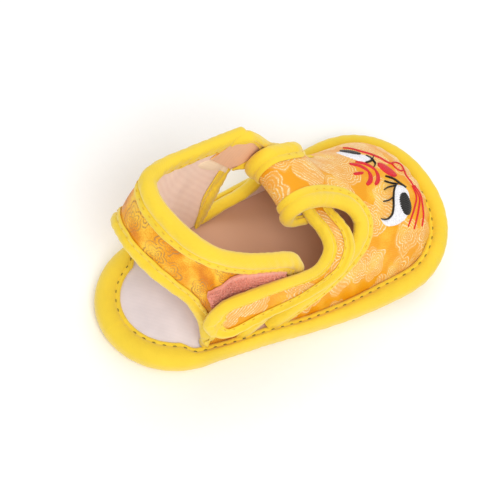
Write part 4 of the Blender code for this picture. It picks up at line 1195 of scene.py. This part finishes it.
def thread(name, colour):
    """Thread for seams, pile and embroidery: smooth fibres with a silky light across each thread."""
    material, tree, shader = begin(name, Roughness=0.5, IOR=1.5, Sheen_Weight=0.1, Sheen_Roughness=0.4)
    # Fibres, drawn 0.4 mm apart
    fibre = noise(tree, wire(tree, "TexCoord", out="Object"), 0.4 * MM, 2.0)
    tree.links.new(tones(tree, fibre, colour, 0.8, 1.15, (0.3, 0.7)), shader.inputs["Base Color"])
    return material


def paper(name, colour):
    """Matt white studio paper with a faint grain."""
    material, tree, shader = begin(name, Roughness=0.9)
    grain = noise(tree, wire(tree, "TexCoord", out="Object"), 2.5 * MM, 2.0)
    tree.links.new(tones(tree, grain, colour, 0.98, 1.0), shader.inputs["Base Color"])
    return material


def shared(make, name, *values):
    """Material of that name, made on first use."""
    return bpy.data.materials.get(name) or make(name, *values)


def tape_cloth(colours):
    """The binding tapes' material."""
    return shared(bias_tape, "cotton_bias_tape", colours.tape)


def lining_cloth(colours):
    """The lining's material: knitted tricot cut on the bias, whose courses show as fine slanting lines."""
    return shared(plain_cloth, "tricot_lining", colours.lining)


def fine_thread(colours):
    """Material of the stitches in the upper's tapes, near the tapes' own colour."""
    return shared(thread, "fine_thread", colours.seam)


def length_property(name, description, default):
    """Length property whose default is in metres."""
    return FloatProperty(name=name, description=description, default=default, unit="LENGTH")


class SILKSHOE_PG_sizes(bpy.types.PropertyGroup):
    """Sizes a user may change."""
    tape_flange: FloatProperty(
        name="Tape Flange", description="Share of a tape that lies flat beyond its crease",
        default=0.4, min=0.1, max=0.7, subtype="FACTOR")
    pucker_depth: length_property("Pucker Depth", "Depth of the small folds in the tapes", 0.00026)
    stitch_pitch: length_property("Stitch Pitch", "Distance from stitch to stitch", 0.0034)
    stitch_length: length_property("Stitch Length", "Visible length of one stitch", 0.0013)
    stitch_width: length_property("Stitch Width", "Thickness of the seam thread", 0.0003)
    embroidery_thread: length_property("Embroidery Thread", "Width of one embroidery thread", 0.0005)
    motif: length_property("Brocade Motif", "Distance from cloud to cloud in the brocade", 0.0118)
    loop_pitch: length_property("Pile Pitch", "Distance between the fastener's loops", 0.0007)
    loop_height: length_property("Pile Height", "Height of the fastener's loops", 0.0008)


def colour_property(name, description, code):
    """Colour property whose default is an sRGB hex code."""
    return FloatVectorProperty(name=name, description=description, subtype="COLOR", min=0, max=1,
                               default=linear(code))


class SILKSHOE_PG_colours(bpy.types.PropertyGroup):
    """Colours a user may change."""
    tape: colour_property("Tape", "Cotton bias tape", "#F1CE2B")
    ground: colour_property("Brocade Ground", "Satin ground of the brocade", "#EE9F13")
    # Brocade Shade and Brocade Shine are painted shade and painted highlights of the satin ground, laid out
    # by noise
    shade: colour_property("Brocade Shade", "Satin ground turned from the light", "#D87A08")
    shine: colour_property("Brocade Shine", "Satin ground turned to the light", "#FCCB42")
    motif: colour_property("Brocade Motif", "Pale threads of the brocade", "#FFE5AC")
    scroll: colour_property("Brocade Scroll", "Tan outline threads of the brocade", "#BC8644")
    lining: colour_property("Lining", "Tricot lining", "#FFE0D2")
    tongue: colour_property("Tongue", "Calico end of the strap's lining", "#FFE6C8")
    facing: colour_property("Strap Facing", "Cotton facing under the strap", "#F0BE9A")
    insole: colour_property("Insole", "Brushed cotton insole", "#E4DADE")
    # Insole Front is painted shade: the same cotton as the insole, darker and warmer where the upper shades
    # it
    insole_painted_shade: colour_property("Insole Front", "Warmer cotton of the insole's front", "#DAAD92")
    sole: colour_property("Sole", "Cotton canvas under the sole", "#F2CB4A")
    pile: colour_property("Fastener", "Loop pile of the fastener", "#F0A28C")
    stitch: colour_property("Stitches", "Seam thread round the sole", "#7E6A1C")
    seam: colour_property("Fine Stitches", "Seam thread of the other tapes", "#E2B42A")
    red: colour_property("Red Thread", "Nose, whiskers and stripes", "#DC1220")
    black: colour_property("Black Thread", "Pupils and lashes", "#1E1A18")
    white: colour_property("White Thread", "Whites of the eyes", "#F4F0F8")
    floor: colour_property("Floor", "Studio paper", "#FFFFFF")


def chosen(context):
    """The user's sizes and colours."""
    return context.scene.silk_shoe_sizes, context.scene.silk_shoe_colours


def silk(colours, sizes):
    """Brocade with pale hatched leaves, for the toe and the strap."""
    # The leaf brocade's ground passes from its own colour to painted highlights
    grounds_with_painted_light = (colours.ground, colours.ground, colours.shine)
    return shared(brocade, "leaf_brocade", grounds_with_painted_light, colours.motif, colours.motif, sizes.motif / MM,
                  *LEAF_PATTERN)


def quilting(x, y, t):
    """Relief under the sole: ridges along two sets of slanting lines, growing in from the edge."""
    lines = sum(np.cos(np.pi * across / QUILT_SPACING)**QUILT_POWER for across in (x + y, x - y))
    return QUILT_DEPTH * np.clip(lines, 0, 1) * smooth(QUILT_EDGE * t)


def hollows(x, y, t):
    """Relief of the insole: shallow hollows from products of slow sines, growing in from the edge."""
    long, bend, wide, fine_long, fine_wide = HOLLOW_LENGTHS
    broad = np.sin(x / long + HOLLOW_BEND * np.sin(y / bend)) * np.sin(y / wide + 1)
    return HOLLOW_DEPTH * (broad + 0.5 * np.sin(x / fine_long + y / fine_wide)) * smooth(HOLLOW_EDGE * t)


class SILKSHOE_OT_make_sole(bpy.types.Operator):
    """Make the padded sole, the insole and the tape with its stitches round the edge"""
    bl_idname = "silk_shoe.make_sole"
    bl_label = "Sole"

    def pad(self, name, rings, crown, relief, material):
        """Closed pad: rings of the outline inset at heights, closed below and above on a middle line.

        The upper face rises by the crown towards the middle line, and the relief lies on both faces.
        """
        outline = sole_outline(SOLE_STEPS)
        rows = [np.column_stack([inset(outline, d), np.full(SOLE_STEPS, z)]) for d, z in rings]

        def face(row, crown):
            axis = row * (1, 0, 1)
            axis[:, 0] = np.clip(axis[:, 0], AXIS_HEEL_X, AXIS_TOE_X)
            made = []
            for t in np.linspace(0, 1, PAD_RINGS)[1:]:
                step = between(row, axis, t)
                step[:, 2] += crown * np.sin(np.pi / 2 * t)**CROWN_POWER + relief(step[:, 0], step[:, 1], t)
                made.append(step)
            return made

        grid = lifted(np.stack(face(rows[0], 0.0)[::-1] + rows + face(rows[-1], crown)))
        quads = grid_quads(index_grid(grid.shape, wrap=True))
        return add_piece(name, grid, quads, [material], (0, 1), merge=PAD_MERGE)

    def tape(self, sizes, colours):
        """Tape folded round the sole's edge: its section carried round the outline, with slanting puckers."""
        outline = sole_outline(OUTLINE_STEPS)
        arm = feather_inset(outline[:, 0]) - SOLE_ARM_GAP
        arm = between(arm, SOLE_ARM_HEEL, passing(outline[:, 0], SOLE_ARM_BLEND_X))
        seam = arm - SOLE_SEAM
        table = np.array(SOLE_TAPE_SECTION)
        inward = table[:, :2] @ np.stack([arm, seam]) + table[:, 2:3]
        rows = np.stack([inward, np.broadcast_to(table[:, 3:], inward.shape)], axis=-1)
        rows = soft_ring(soft_ring(rows))
        run = lengths(np.concatenate([outline, outline[:1]]))[:-1]
        fade = np.sin(np.pi * np.arange(len(outline)) / len(outline))**SOLE_PUCKER_FADE
        fold = puckering(run, rows.mean(axis=-1)) * fade * sizes.pucker_depth / MM
        upward = np.interp(rows[..., 1], SOLE_PUCKER_Z, (0, 1))
        rows[..., 0] -= SOLE_PUCKER_SIDE * fold * (1 - upward)
        rows[..., 1] += fold * upward
        sections = np.stack([np.column_stack([inset(outline, row[:, 0]), row[:, 1]]) for row in rows], axis=1)
        girth = lengths(rows[:, 0])
        tape = add_sweep("sole_tape", lifted(sections), tape_cloth(colours), run, girth, closed=True)
        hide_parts("sole_binding")
        line = lifted(np.column_stack([inset(outline, seam), np.full(len(outline), SOLE_SEAM_Z)]))
        up = np.broadcast_to((0.0, 0.0, 1.0), line.shape)
        add_stitches("sole_stitches", (line, up), sizes, thread("polyester_thread", colours.stitch))

    def execute(self, context):
        """Make the sole's pieces."""
        sizes, colours = chosen(context)
        canvas = plain_cloth("cotton_canvas", colours.sole)
        sole = self.pad("sole_pad", SOLE_RINGS, 0.0, quilting, canvas)
        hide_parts("sole")
        # Brushed cotton: ribs of a fine twill, drawn 1.2 mm apart so that they show
        # Towards the toe the insole takes the darker Insole Front colour as painted shade
        cotton = plain_cloth("brushed_cotton", colours.insole, colours.insole_painted_shade)
        insole = self.pad("insole_pad", INSOLE_RINGS, INSOLE_CROWN, hollows, cotton)
        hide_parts("insole")
        self.tape(sizes, colours)
        return {"FINISHED"}


class SILKSHOE_OT_make_toe(bpy.types.Operator):
    """Make the brocade toe with its instep tab, and the tapes along its throat"""
    bl_idname = "silk_shoe.make_toe"
    bl_label = "Toe"

    def execute(self, context):
        """Make the toe's pieces."""
        sizes, colours = chosen(context)
        outer = vamp_dome()
        normal = unit(np.cross(np.gradient(outer, axis=1), np.gradient(outer, axis=0)))
        normal = normal * np.sign(np.sum(normal * last_normal(outer), axis=-1, keepdims=True) + TINY)
        run = lengths(outer[:, -1])
        near_sole = np.interp(np.linspace(0, 1, DOME_ROWS), (1 - DOME_GATHER_REACH, 1), (0, 1))
        wander = DOME_GATHER_DRIFT[0] * np.sin(run / DOME_GATHER_DRIFT[1])
        gather = DOME_GATHERS[1] * np.sin(2 * np.pi * run / DOME_GATHERS[0] + wander)
        outer = outer + normal * (gather[:, None] * near_sole * (1 - near_sole) * 4)[..., None]
        inner = outer - normal * WALL
        dome = index_grid(outer.shape)
        top = TAB_TOP_LENGTH * np.linspace(0, 1, TAB_STEPS)[1:]**NOTCH_EASE
        fold = TAB_TOP_LENGTH + np.linspace(0, FOLD_LENGTH, FOLD_STEPS + 1)[1:]
        under = TAB_TOP_LENGTH + FOLD_LENGTH + np.linspace(0, UNDER_LENGTH, UNDER_STEPS + 1)[1:]
        along = np.concatenate([top, fold, under])
        middle, facing = tab_surface(*np.meshgrid(along, np.linspace(0, 1, ROOT_STEPS), indexing="ij"))
        tab = index_grid(middle.shape, dome.size)
        root = dome[WING_STEPS - 1:WING_STEPS - 1 + ROOT_STEPS, 0]
        quads = np.concatenate([grid_quads(dome), grid_quads(np.concatenate([root[None], tab]))])
        half = facing * WALL / 2
        outer = outer.reshape(-1, 3)
        all_outer = np.concatenate([outer, (middle + half).reshape(-1, 3)])
        all_inner = np.concatenate([inner.reshape(-1, 3), (middle - half).reshape(-1, 3)])
        # The cloth laid flat about the notch: direction in plan, true distance
        away = outer - FLAT_CENTRE
        flat = unit(away[:, :2]) * np.linalg.norm(away, axis=1, keepdims=True) + FLAT_CENTRE[:2]
        tab_uv = np.stack([NOTCH_X - np.broadcast_to(along[:, None], tab.shape), middle[..., 1]], axis=-1)
        uv = np.concatenate([flat, tab_uv.reshape(-1, 2)])
        cloths = [silk(colours, sizes), lining_cloth(colours)]
        toe = add_wall("toe_upper", all_outer, all_inner, quads, cloths, uv)
        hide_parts("upper_vamp")
        for side, table, place in ((-1, NEAR_WING_TABLE, "near"), (1, FAR_WING_TABLE, "far")):
            self.tape(side, table, place, sizes, colours)
        return {"FINISHED"}

    def tape(self, side, table, place, sizes, colours):
        """Tape along one wing, round the notch, along the tab's side, round its fold and back under it."""
        wing_x, wing_q = wing_rows(table, WING_STEPS, WING_TAPE_END)
        tab_share = 0.0 if side < 0 else 1.0
        fold_at = fold_x(tab_share)
        top_x = between(NOTCH_X, fold_at, np.linspace(0, 1, WING_STEPS)[NOTCH_SKIP:]**NOTCH_EASE)
        top_y = curve(TAB_SIDES_TABLE, top_x)[:, 0 if side < 0 else 1]
        under_end = UNDER_LENGTH * (UNDER_TAPE_END_X - fold_at) / (TUNNEL_END_X - fold_at)
        along = TAB_TOP_LENGTH + np.linspace(0, FOLD_LENGTH + under_end, WING_STEPS)[1:]
        runs = []
        for surface, u, w, inside, square in (
                (above_sole, wing_x, wing_q, (WING_INWARD[0], WING_INWARD[1] * side), True),
                (plan_surface, top_x, top_y, (TAB_INWARD[0], TAB_INWARD[1] * side), True),
                (tab_surface, along, np.full(len(along), tab_share), (0.0, -side), False)):
            outer = inner = plump = 1.0
            if side > 0 and surface is not tab_surface:
                notch = passing(u, FAR_NOTCH_X)
                outer, plump = 1 - FAR_NOTCH_TRIM * notch, 1 - FAR_NOTCH_FLAT * notch
            if side > 0 and surface is above_sole:
                inner = 1 + FAR_ARM_GAIN * passing(u, FAR_NOTCH_X[::-1])
            rows = evenly(surface, (u, w, inside[0], inside[1], outer, inner, plump))
            runs.append((surface, rows[0], rows[1], (rows[2], rows[3]), square, *rows[4:]))
        tape, seam, _ = add_tape(f"toe_tape_{place}", runs, WALL, VAMP_ARMS, sizes, tape_cloth(colours))
        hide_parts(f"vamp_binding_{place}")
        add_stitches(f"toe_stitches_{place}", seam, sizes, fine_thread(colours), TOE_SEAM_ENDS)


class SILKSHOE_OT_make_heel(bpy.types.Operator):
    """Make the quarters with the heel band, and the tapes on their edges"""
    bl_idname = "silk_shoe.make_heel"
    bl_label = "Heel"

    def execute(self, context):
        """Make the heel's pieces."""
        sizes, colours = chosen(context)
        first, last = BACK_TABLE[0][0], BACK_TABLE[-1][0]
        # The scroll brocade's ground passes from painted shade to painted highlights
        grounds_with_painted_light = (colours.shade, colours.ground, colours.shine)
        scrolls = brocade("scroll_brocade", grounds_with_painted_light, colours.ground, colours.scroll,
                          SCROLL_SIZE * sizes.motif / MM, *SCROLL_PATTERN)
        band = add_sheet("heel_upper", back_surface, np.linspace(first, last, BACK_STEPS),
                         np.linspace(0, 1, BACK_ROWS), WALL, [scrolls, lining_cloth(colours)])
        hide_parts("upper_back")
        front = np.linspace(0, 1, COLLAR_FRONT_STEPS)
        rim = np.linspace(first, last, COLLAR_RIM_STEPS)[1:-1]
        share = np.concatenate([front, np.ones(len(rim)), front[::-1]])
        station = np.pad(rim, COLLAR_FRONT_STEPS, constant_values=(first, last))
        inside_u = np.pad(np.zeros(len(rim)), COLLAR_FRONT_STEPS, constant_values=(1.0, -1.0))
        inside_w = np.where(share == 1, RIM_INWARD, 0.0)
        rows = [eased(row) for row in evenly(back_surface, (station, share, inside_u, inside_w))]
        full = np.abs(rows[0] - COLLAR_FULL_STATIONS[0]) / COLLAR_FULL_STATIONS[1]
        plump = 1 + COLLAR_FULL * smooth(2 - 2 * full)
        runs = ((back_surface, rows[0], rows[1], (rows[2], rows[3]), False, 1.0, 1.0, plump),)
        cotton, fine = tape_cloth(colours), fine_thread(colours)
        collar, seam, inner_seam = add_tape("collar_tape", runs, WALL, COLLAR_ARMS, sizes, cotton)
        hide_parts("collar_binding")
        add_stitches("collar_stitches", seam, sizes, fine, COLLAR_SEAM_ENDS)
        add_stitches("collar_inner_stitches", inner_seam, sizes, fine, COLLAR_INNER_SEAM_ENDS)
        low = np.linspace(BASE_STATIONS_NEAR + HEEL_TAPE_START, BASE_STATIONS_FAR - HEEL_TAPE_START,
                          HEEL_TAPE_STEPS)
        flare = 1 + HEEL_FLARE * smooth(1 - (low - BASE_STATIONS_NEAR) / HEEL_FLARE_STATIONS)
        rows = evenly(back_surface, (low, np.zeros(HEEL_TAPE_STEPS), 0.0, 1.0, flare))
        runs = ((back_surface, rows[0], rows[1], (rows[2], rows[3]), True, rows[4], 1.0, 1.0),)
        heel, seam, _ = add_tape("heel_tape", runs, WALL, HEEL_ARMS, sizes, cotton)
        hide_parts("heel_binding")
        add_stitches("heel_stitches", seam, sizes, fine, HEEL_SEAM_ENDS)
        return {"FINISHED"}


class SILKSHOE_OT_make_strap(bpy.types.Operator):
    """Make the strap and the tape round it"""
    bl_idname = "silk_shoe.make_strap"
    bl_label = "Strap"

    def execute(self, context):
        """Make the strap's pieces."""
        sizes, colours = chosen(context)
        along = np.linspace(0, STRAP_LENGTH, int(STRAP_LENGTH / STRAP_STEP))
        facing = plain_cloth("cotton_facing", colours.facing)
        wall = STRAP_WALL * between(STRAP_ROOT_SHARE, 1, smooth(along / STRAP_ROOT_LENGTH))
        strap = add_sheet("strap_band", strap_surface, along, np.linspace(0, 1, STRAP_ROWS), wall,
                          [silk(colours, sizes), facing], int(np.sum(along < STRAP_TURN)))
        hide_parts("strap")
        back, front = (along[(along > start) & (along < STRAP_LENGTH)] for start in STRAP_TAPE_START)
        u = np.concatenate([back, np.full(STRAP_END_STEPS, STRAP_LENGTH), front[::-1]])
        w = np.concatenate([np.ones(len(back)), np.linspace(1, 0, STRAP_END_STEPS), np.zeros(len(front))])
        u, w = evenly(strap_surface, (u, w))
        run = lengths(strap_surface(u, w)[0])
        grown = smooth(np.minimum(run, run[-1] - run) / STRAP_TAPE_TAPER)
        tip = u > STRAP_LENGTH - STRAP_TIP
        focus = strap_surface(STRAP_LENGTH - STRAP_TIP, 0.5)[0]
        wide = 1 + STRAP_TIP_GAIN * smooth(1 - (STRAP_LENGTH - u) / STRAP_TIP)
        share = between(STRAP_TAPE_LEAST, 1, grown) * wide
        plump = between(STRAP_PLUMP_LEAST, 1, grown)
        runs = []
        for part in np.split(np.arange(len(u)), np.flatnonzero(np.diff(tip)) + 1):
            inside = focus if tip[part[0]] else (0.0, np.sign(0.5 - w[part]))
            shares = (share[part], share[part], plump[part])
            runs.append((strap_surface, u[part], w[part], inside, False, *shares))
        tape, seam, _ = add_tape("strap_tape", runs, STRAP_WALL, STRAP_ARMS, sizes, tape_cloth(colours))
        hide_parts("strap_binding")
        add_stitches("strap_stitches", seam, sizes, fine_thread(colours), STRAP_SEAM_ENDS)
        root, facing = strap_surface(ROOT_SEAM_AT, np.linspace(*ROOT_SEAM_SHARES, ROOT_SEAM_STEPS))
        # The strap's visible face on the far side is its inner one
        line = (root - facing * ROOT_SEAM_LIFT, -facing)
        orange = thread("orange_thread", colours.ground)
        add_stitches("root_stitches", line, sizes, orange, step=ROOT_SEAM_PITCH)
        self.tongue(colours)
        return {"FINISHED"}

    def tongue(self, colours):
        """Oval end of the strap's lining: an ellipse on the far quarter's inner face, crowned like a lens."""
        r = np.linspace(0, 1, TONGUE_RINGS)[:, None]
        turn = np.linspace(0, 2 * np.pi, TONGUE_SIDES, endpoint=False)[None, :]
        station, share = (
            centre + r * (long * np.cos(turn) + wide * np.sin(turn))
            for centre, long, wide in zip(TONGUE_CENTRE, TONGUE_LONG, TONGUE_WIDE))
        middle, normal = back_surface(station, share)
        crown = TONGUE_BASE + TONGUE_CROWN * np.sqrt(np.clip(1 - r**2, 0, 1))
        top = middle - normal * (WALL / 2 + crown)[..., None]
        low = middle[-1:] - normal[-1:] * (WALL / 2 - TONGUE_BASE)
        shut = np.broadcast_to(low.mean(axis=1, keepdims=True), low.shape)
        grid = np.concatenate([top, low, shut])
        quads = grid_quads(index_grid(grid.shape, wrap=True))
        calico = plain_cloth("cotton_calico", colours.tongue)
        add_piece("strap_tongue", grid, quads, [calico], (0, 2), merge=TONGUE_MERGE)


class SILKSHOE_OT_make_fastener(bpy.types.Operator):
    """Make the loop half of the hook-and-loop fastener on the near quarter"""
    bl_idname = "silk_shoe.make_fastener"
    bl_label = "Fastener"

    def lying(self, station, height):
        """Middle of the patch on the quarter's outer face at a station and a share of its height."""
        share = between(PATCH_LOW_SHARE, curve(PATCH_TOP_TABLE, station)[..., 0], height)
        middle, normal = back_surface(station, share)
        return middle + normal * (WALL / 2 + PATCH_GAP + PATCH_THICKNESS / 2), normal

    def execute(self, context):
        """Make the base cloth, and the pile: jittered rows of small arched loops of four-sided thread."""
        sizes, colours = chosen(context)
        first, last = PATCH_TOP_TABLE[0][0], PATCH_TOP_TABLE[-1][0]
        pile = plain_cloth("nylon_loop_pile", colours.pile)
        base = add_sheet("fastener_base", self.lying, np.linspace(first, last, PATCH_STEPS),
                         np.linspace(0, 1, PATCH_ROWS), PATCH_THICKNESS, [pile])
        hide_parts("fastener_patch")
        draw = np.random.default_rng(PILE_SEED)
        pitch = sizes.loop_pitch / MM / PATCH_STATION
        grid = np.stack(np.meshgrid(np.arange(first + PILE_MARGIN, last - PILE_MARGIN, pitch),
                                    np.arange(PILE_MARGIN, 1 - PILE_MARGIN, pitch), indexing="ij"), axis=-1)
        grid = grid.reshape(-1, 2)
        grid = grid + draw.uniform(-PILE_JITTER, PILE_JITTER, grid.shape) * pitch
        place, facing = self.lying(grid[:, 0], np.clip(grid[:, 1], 0, 1))
        place = place + facing * PATCH_THICKNESS / 2
        turn = draw.uniform(0, np.pi, len(place))[:, None]
        side = unit(np.cross(facing, (0.0, 0.0, 1.0)))
        lean = side * np.cos(turn) + np.cross(facing, side) * np.sin(turn)
        arc = np.linspace(-LOOP_OVERRUN, np.pi + LOOP_OVERRUN, LOOP_RINGS)[None, :, None, None]
        ring = np.linspace(0, 2 * np.pi, LOOP_SIDES, endpoint=False)[None, None, :, None]
        tall = (sizes.loop_height / MM * draw.uniform(*LOOP_HEIGHTS, len(place)))[:, None, None, None]
        place, facing, lean = (v[:, None, None, :] for v in (place, facing, lean))
        radial = lean * np.cos(arc) * LOOP_HALF_WIDTH + facing * np.sin(arc) * tall
        across = np.cross(facing, lean) * LOOP_THREAD[1] * np.sin(ring)
        loops = place + radial * (1 + LOOP_THREAD[0] * np.cos(ring)) + across
        nylon = thread("nylon_thread", colours.pile)
        nap = add_piece("fastener_loops", loops, tube_faces(loops), [nylon])
        return {"FINISHED"}


class SILKSHOE_OT_make_embroidery(bpy.types.Operator):
    """Make the embroidered face on the toe: raised satin-stitch patches and lines"""
    bl_idname = "silk_shoe.make_embroidery"
    bl_label = "Embroidery"

    def line(self, points, at):
        """Smooth plan line through points, at shares of its length."""
        points = np.asarray(points, float)
        length = lengths(points)
        return curve(np.column_stack([length / length[-1], points]), at)

    def satin(self, sides, count, lift, slant):
        """Satin-stitch patch between two plan lines: ridges of thread from one to the other, bowed up."""
        s = np.linspace(0, 1, count * SATIN_STEPS + 1)[:, None]
        t = np.linspace(0, 1, SATIN_ROWS)[None, :]
        first, last = (self.line(side, s[:, 0])[:, None] for side in sides)
        plan = between(first, last, t[..., None])
        ridge = 0.5 - 0.5 * np.cos(2 * np.pi * count * (s + slant / count * (t - 0.5)))
        height = lift * (1 - (2 * t - 1)**4) * between(1 - EMBROIDERY_RIDGE, 1, ridge) - EMBROIDERY_BED
        middle, normal = plan_surface(plan[..., 0], plan[..., 1])
        low = middle + normal * (WALL / 2 - EMBROIDERY_SINK)
        return middle + normal * (WALL / 2 + height)[..., None], low

    def stroke(self, half, points, tip):
        """Two side lines of a stroke about its middle line, full in the middle and narrow at its ends."""
        at = np.linspace(0, 1, STROKE_STEPS)
        middle = self.line(points, at)
        along = unit(np.gradient(middle, axis=0))
        width = half * between(tip, 1, np.sqrt(np.clip(1 - (2 * at - 1)**2, 0, 1)))[:, None]
        across = np.stack([-along[:, 1], along[:, 0]], axis=-1) * width
        return middle + across, middle - across

    def piece(self, name, patches, material):
        """One object of several closed patches."""
        points, faces, first = [], [], 0
        for top, low in patches:
            count = top.shape[0] * top.shape[1]
            faces.append(shell_faces(grid_quads(index_grid(top.shape)), count) + first)
            points += [top.reshape(-1, 3), low.reshape(-1, 3)]
            first += 2 * count
        return add_piece(name, np.concatenate(points), np.concatenate(faces), [material])

    def execute(self, context):
        """Make the eyes, pupils, nose, lashes, whiskers and forehead stripes."""
        sizes, colours = chosen(context)
        pitch = sizes.embroidery_thread / MM

        def threads(points):
            return max(LEAST_THREADS, int(lengths(np.asarray(points, float))[-1] / pitch))

        yarns = {name: thread(f"rayon_{name}", getattr(colours, name)) for name in ("red", "black", "white")}
        eyes = [self.satin(eye, threads(eye[0]), EMBROIDERY_LIFT, EYE_SLANT) for eye in (FAR_EYE, NEAR_EYE)]
        self.piece("eye_whites", eyes, yarns["white"])
        for name, yarn, lift, slant, tip, strokes in STROKED_PIECES:
            patches = [self.satin(self.stroke(half, line, tip), threads(line), lift * EMBROIDERY_LIFT, slant)
                       for half, line in strokes]
            self.piece(name, patches, yarns[yarn])
        return {"FINISHED"}


class SILKSHOE_OT_make_stage(bpy.types.Operator):
    """Make the pale floor, the soft studio light and the camera"""
    bl_idname = "silk_shoe.make_stage"
    bl_label = "Stage"

    def execute(self, context):
        """Make floor, world, lamps and camera."""
        scene, colours = context.scene, context.scene.silk_shoe_colours
        mesh = bpy.data.meshes.new("floor")
        corners = [(x * FLOOR_HALF, y * FLOOR_HALF, 0) for x, y in ((-1, -1), (1, -1), (1, 1), (-1, 1))]
        mesh.from_pydata(corners, [], [(0, 1, 2, 3)])
        mesh.materials.append(paper("studio_paper", colours.floor))
        floor = bpy.data.objects.new("floor", mesh)
        scene.collection.objects.link(floor)
        world = bpy.data.worlds.new("studio")
        world.use_nodes = True
        sky = world.node_tree.nodes["Background"].inputs
        sky["Color"].default_value = (1.0, 1.0, 1.0, 1.0)
        sky["Strength"].default_value = WORLD_STRENGTH
        scene.world = world
        scene.view_settings.view_transform = "Standard"
        for name, place, energy, wide in LAMPS:
            lamp = bpy.data.lights.new(name, "AREA")
            lamp.energy, lamp.size = energy, wide
            item = bpy.data.objects.new(name, lamp)
            item.location = place
            item.rotation_euler = (Vector(LAMP_AIM) - Vector(place)).to_track_quat("-Z", "Y").to_euler()
            scene.collection.objects.link(item)
        back, right, up = (Vector(v).normalized() for v in (CAMERA_BACK, CAMERA_RIGHT, CAMERA_UP))
        look = (-back + right * (PICTURE / 2 - CAMERA_CENTRE[0]) / CAMERA_FOCUS
                - up * (PICTURE / 2 - CAMERA_CENTRE[1]) / CAMERA_FOCUS).normalized()
        side = look.cross(up).normalized()
        over = side.cross(look)
        camera = bpy.data.objects.new("camera", bpy.data.cameras.new("camera"))
        camera.data.sensor_width = SENSOR
        camera.data.lens = CAMERA_FOCUS / PICTURE * SENSOR
        turn = Matrix((side, over, -look)).transposed().to_4x4()
        camera.matrix_world = Matrix.Translation(back * CAMERA_DISTANCE) @ turn
        scene.collection.objects.link(camera)
        scene.camera = camera
        return {"FINISHED"}


OPERATORS = (
    SILKSHOE_OT_make_sole, SILKSHOE_OT_make_toe, SILKSHOE_OT_make_heel, SILKSHOE_OT_make_strap,
    SILKSHOE_OT_make_fastener, SILKSHOE_OT_make_embroidery, SILKSHOE_OT_make_stage,
)


class SILKSHOE_PT_panel(bpy.types.Panel):
    """Sidebar panel that lists the shoe's pieces, sizes and colours"""
    bl_idname = "SILKSHOE_PT_panel"
    bl_label = "Silk Shoe"
    bl_space_type = "VIEW_3D"
    bl_region_type = "UI"
    bl_category = "Silk Shoe"

    def draw(self, context):
        """List the operators, then every size and colour."""
        for operator in OPERATORS:
            self.layout.operator(operator.bl_idname)
        for group in chosen(context):
            for name in group.__annotations__:
                self.layout.prop(group, name)


CLASSES = (SILKSHOE_PG_sizes, SILKSHOE_PG_colours, *OPERATORS, SILKSHOE_PT_panel)


def register():
    """Register the classes and the scene's properties."""
    for item in CLASSES:
        bpy.utils.register_class(item)
    bpy.types.Scene.silk_shoe_sizes = PointerProperty(type=SILKSHOE_PG_sizes)
    bpy.types.Scene.silk_shoe_colours = PointerProperty(type=SILKSHOE_PG_colours)


def unregister():
    """Remove the scene's properties and the classes."""
    del bpy.types.Scene.silk_shoe_colours
    del bpy.types.Scene.silk_shoe_sizes
    for item in reversed(CLASSES):
        bpy.utils.unregister_class(item)


def main():
    """Make every piece."""
    register()
    bpy.ops.silk_shoe.make_sole()
    bpy.ops.silk_shoe.make_toe()
    bpy.ops.silk_shoe.make_heel()
    bpy.ops.silk_shoe.make_strap()
    bpy.ops.silk_shoe.make_fastener()
    bpy.ops.silk_shoe.make_embroidery()
    bpy.ops.silk_shoe.make_stage()


if __name__ == "__main__":
    main()
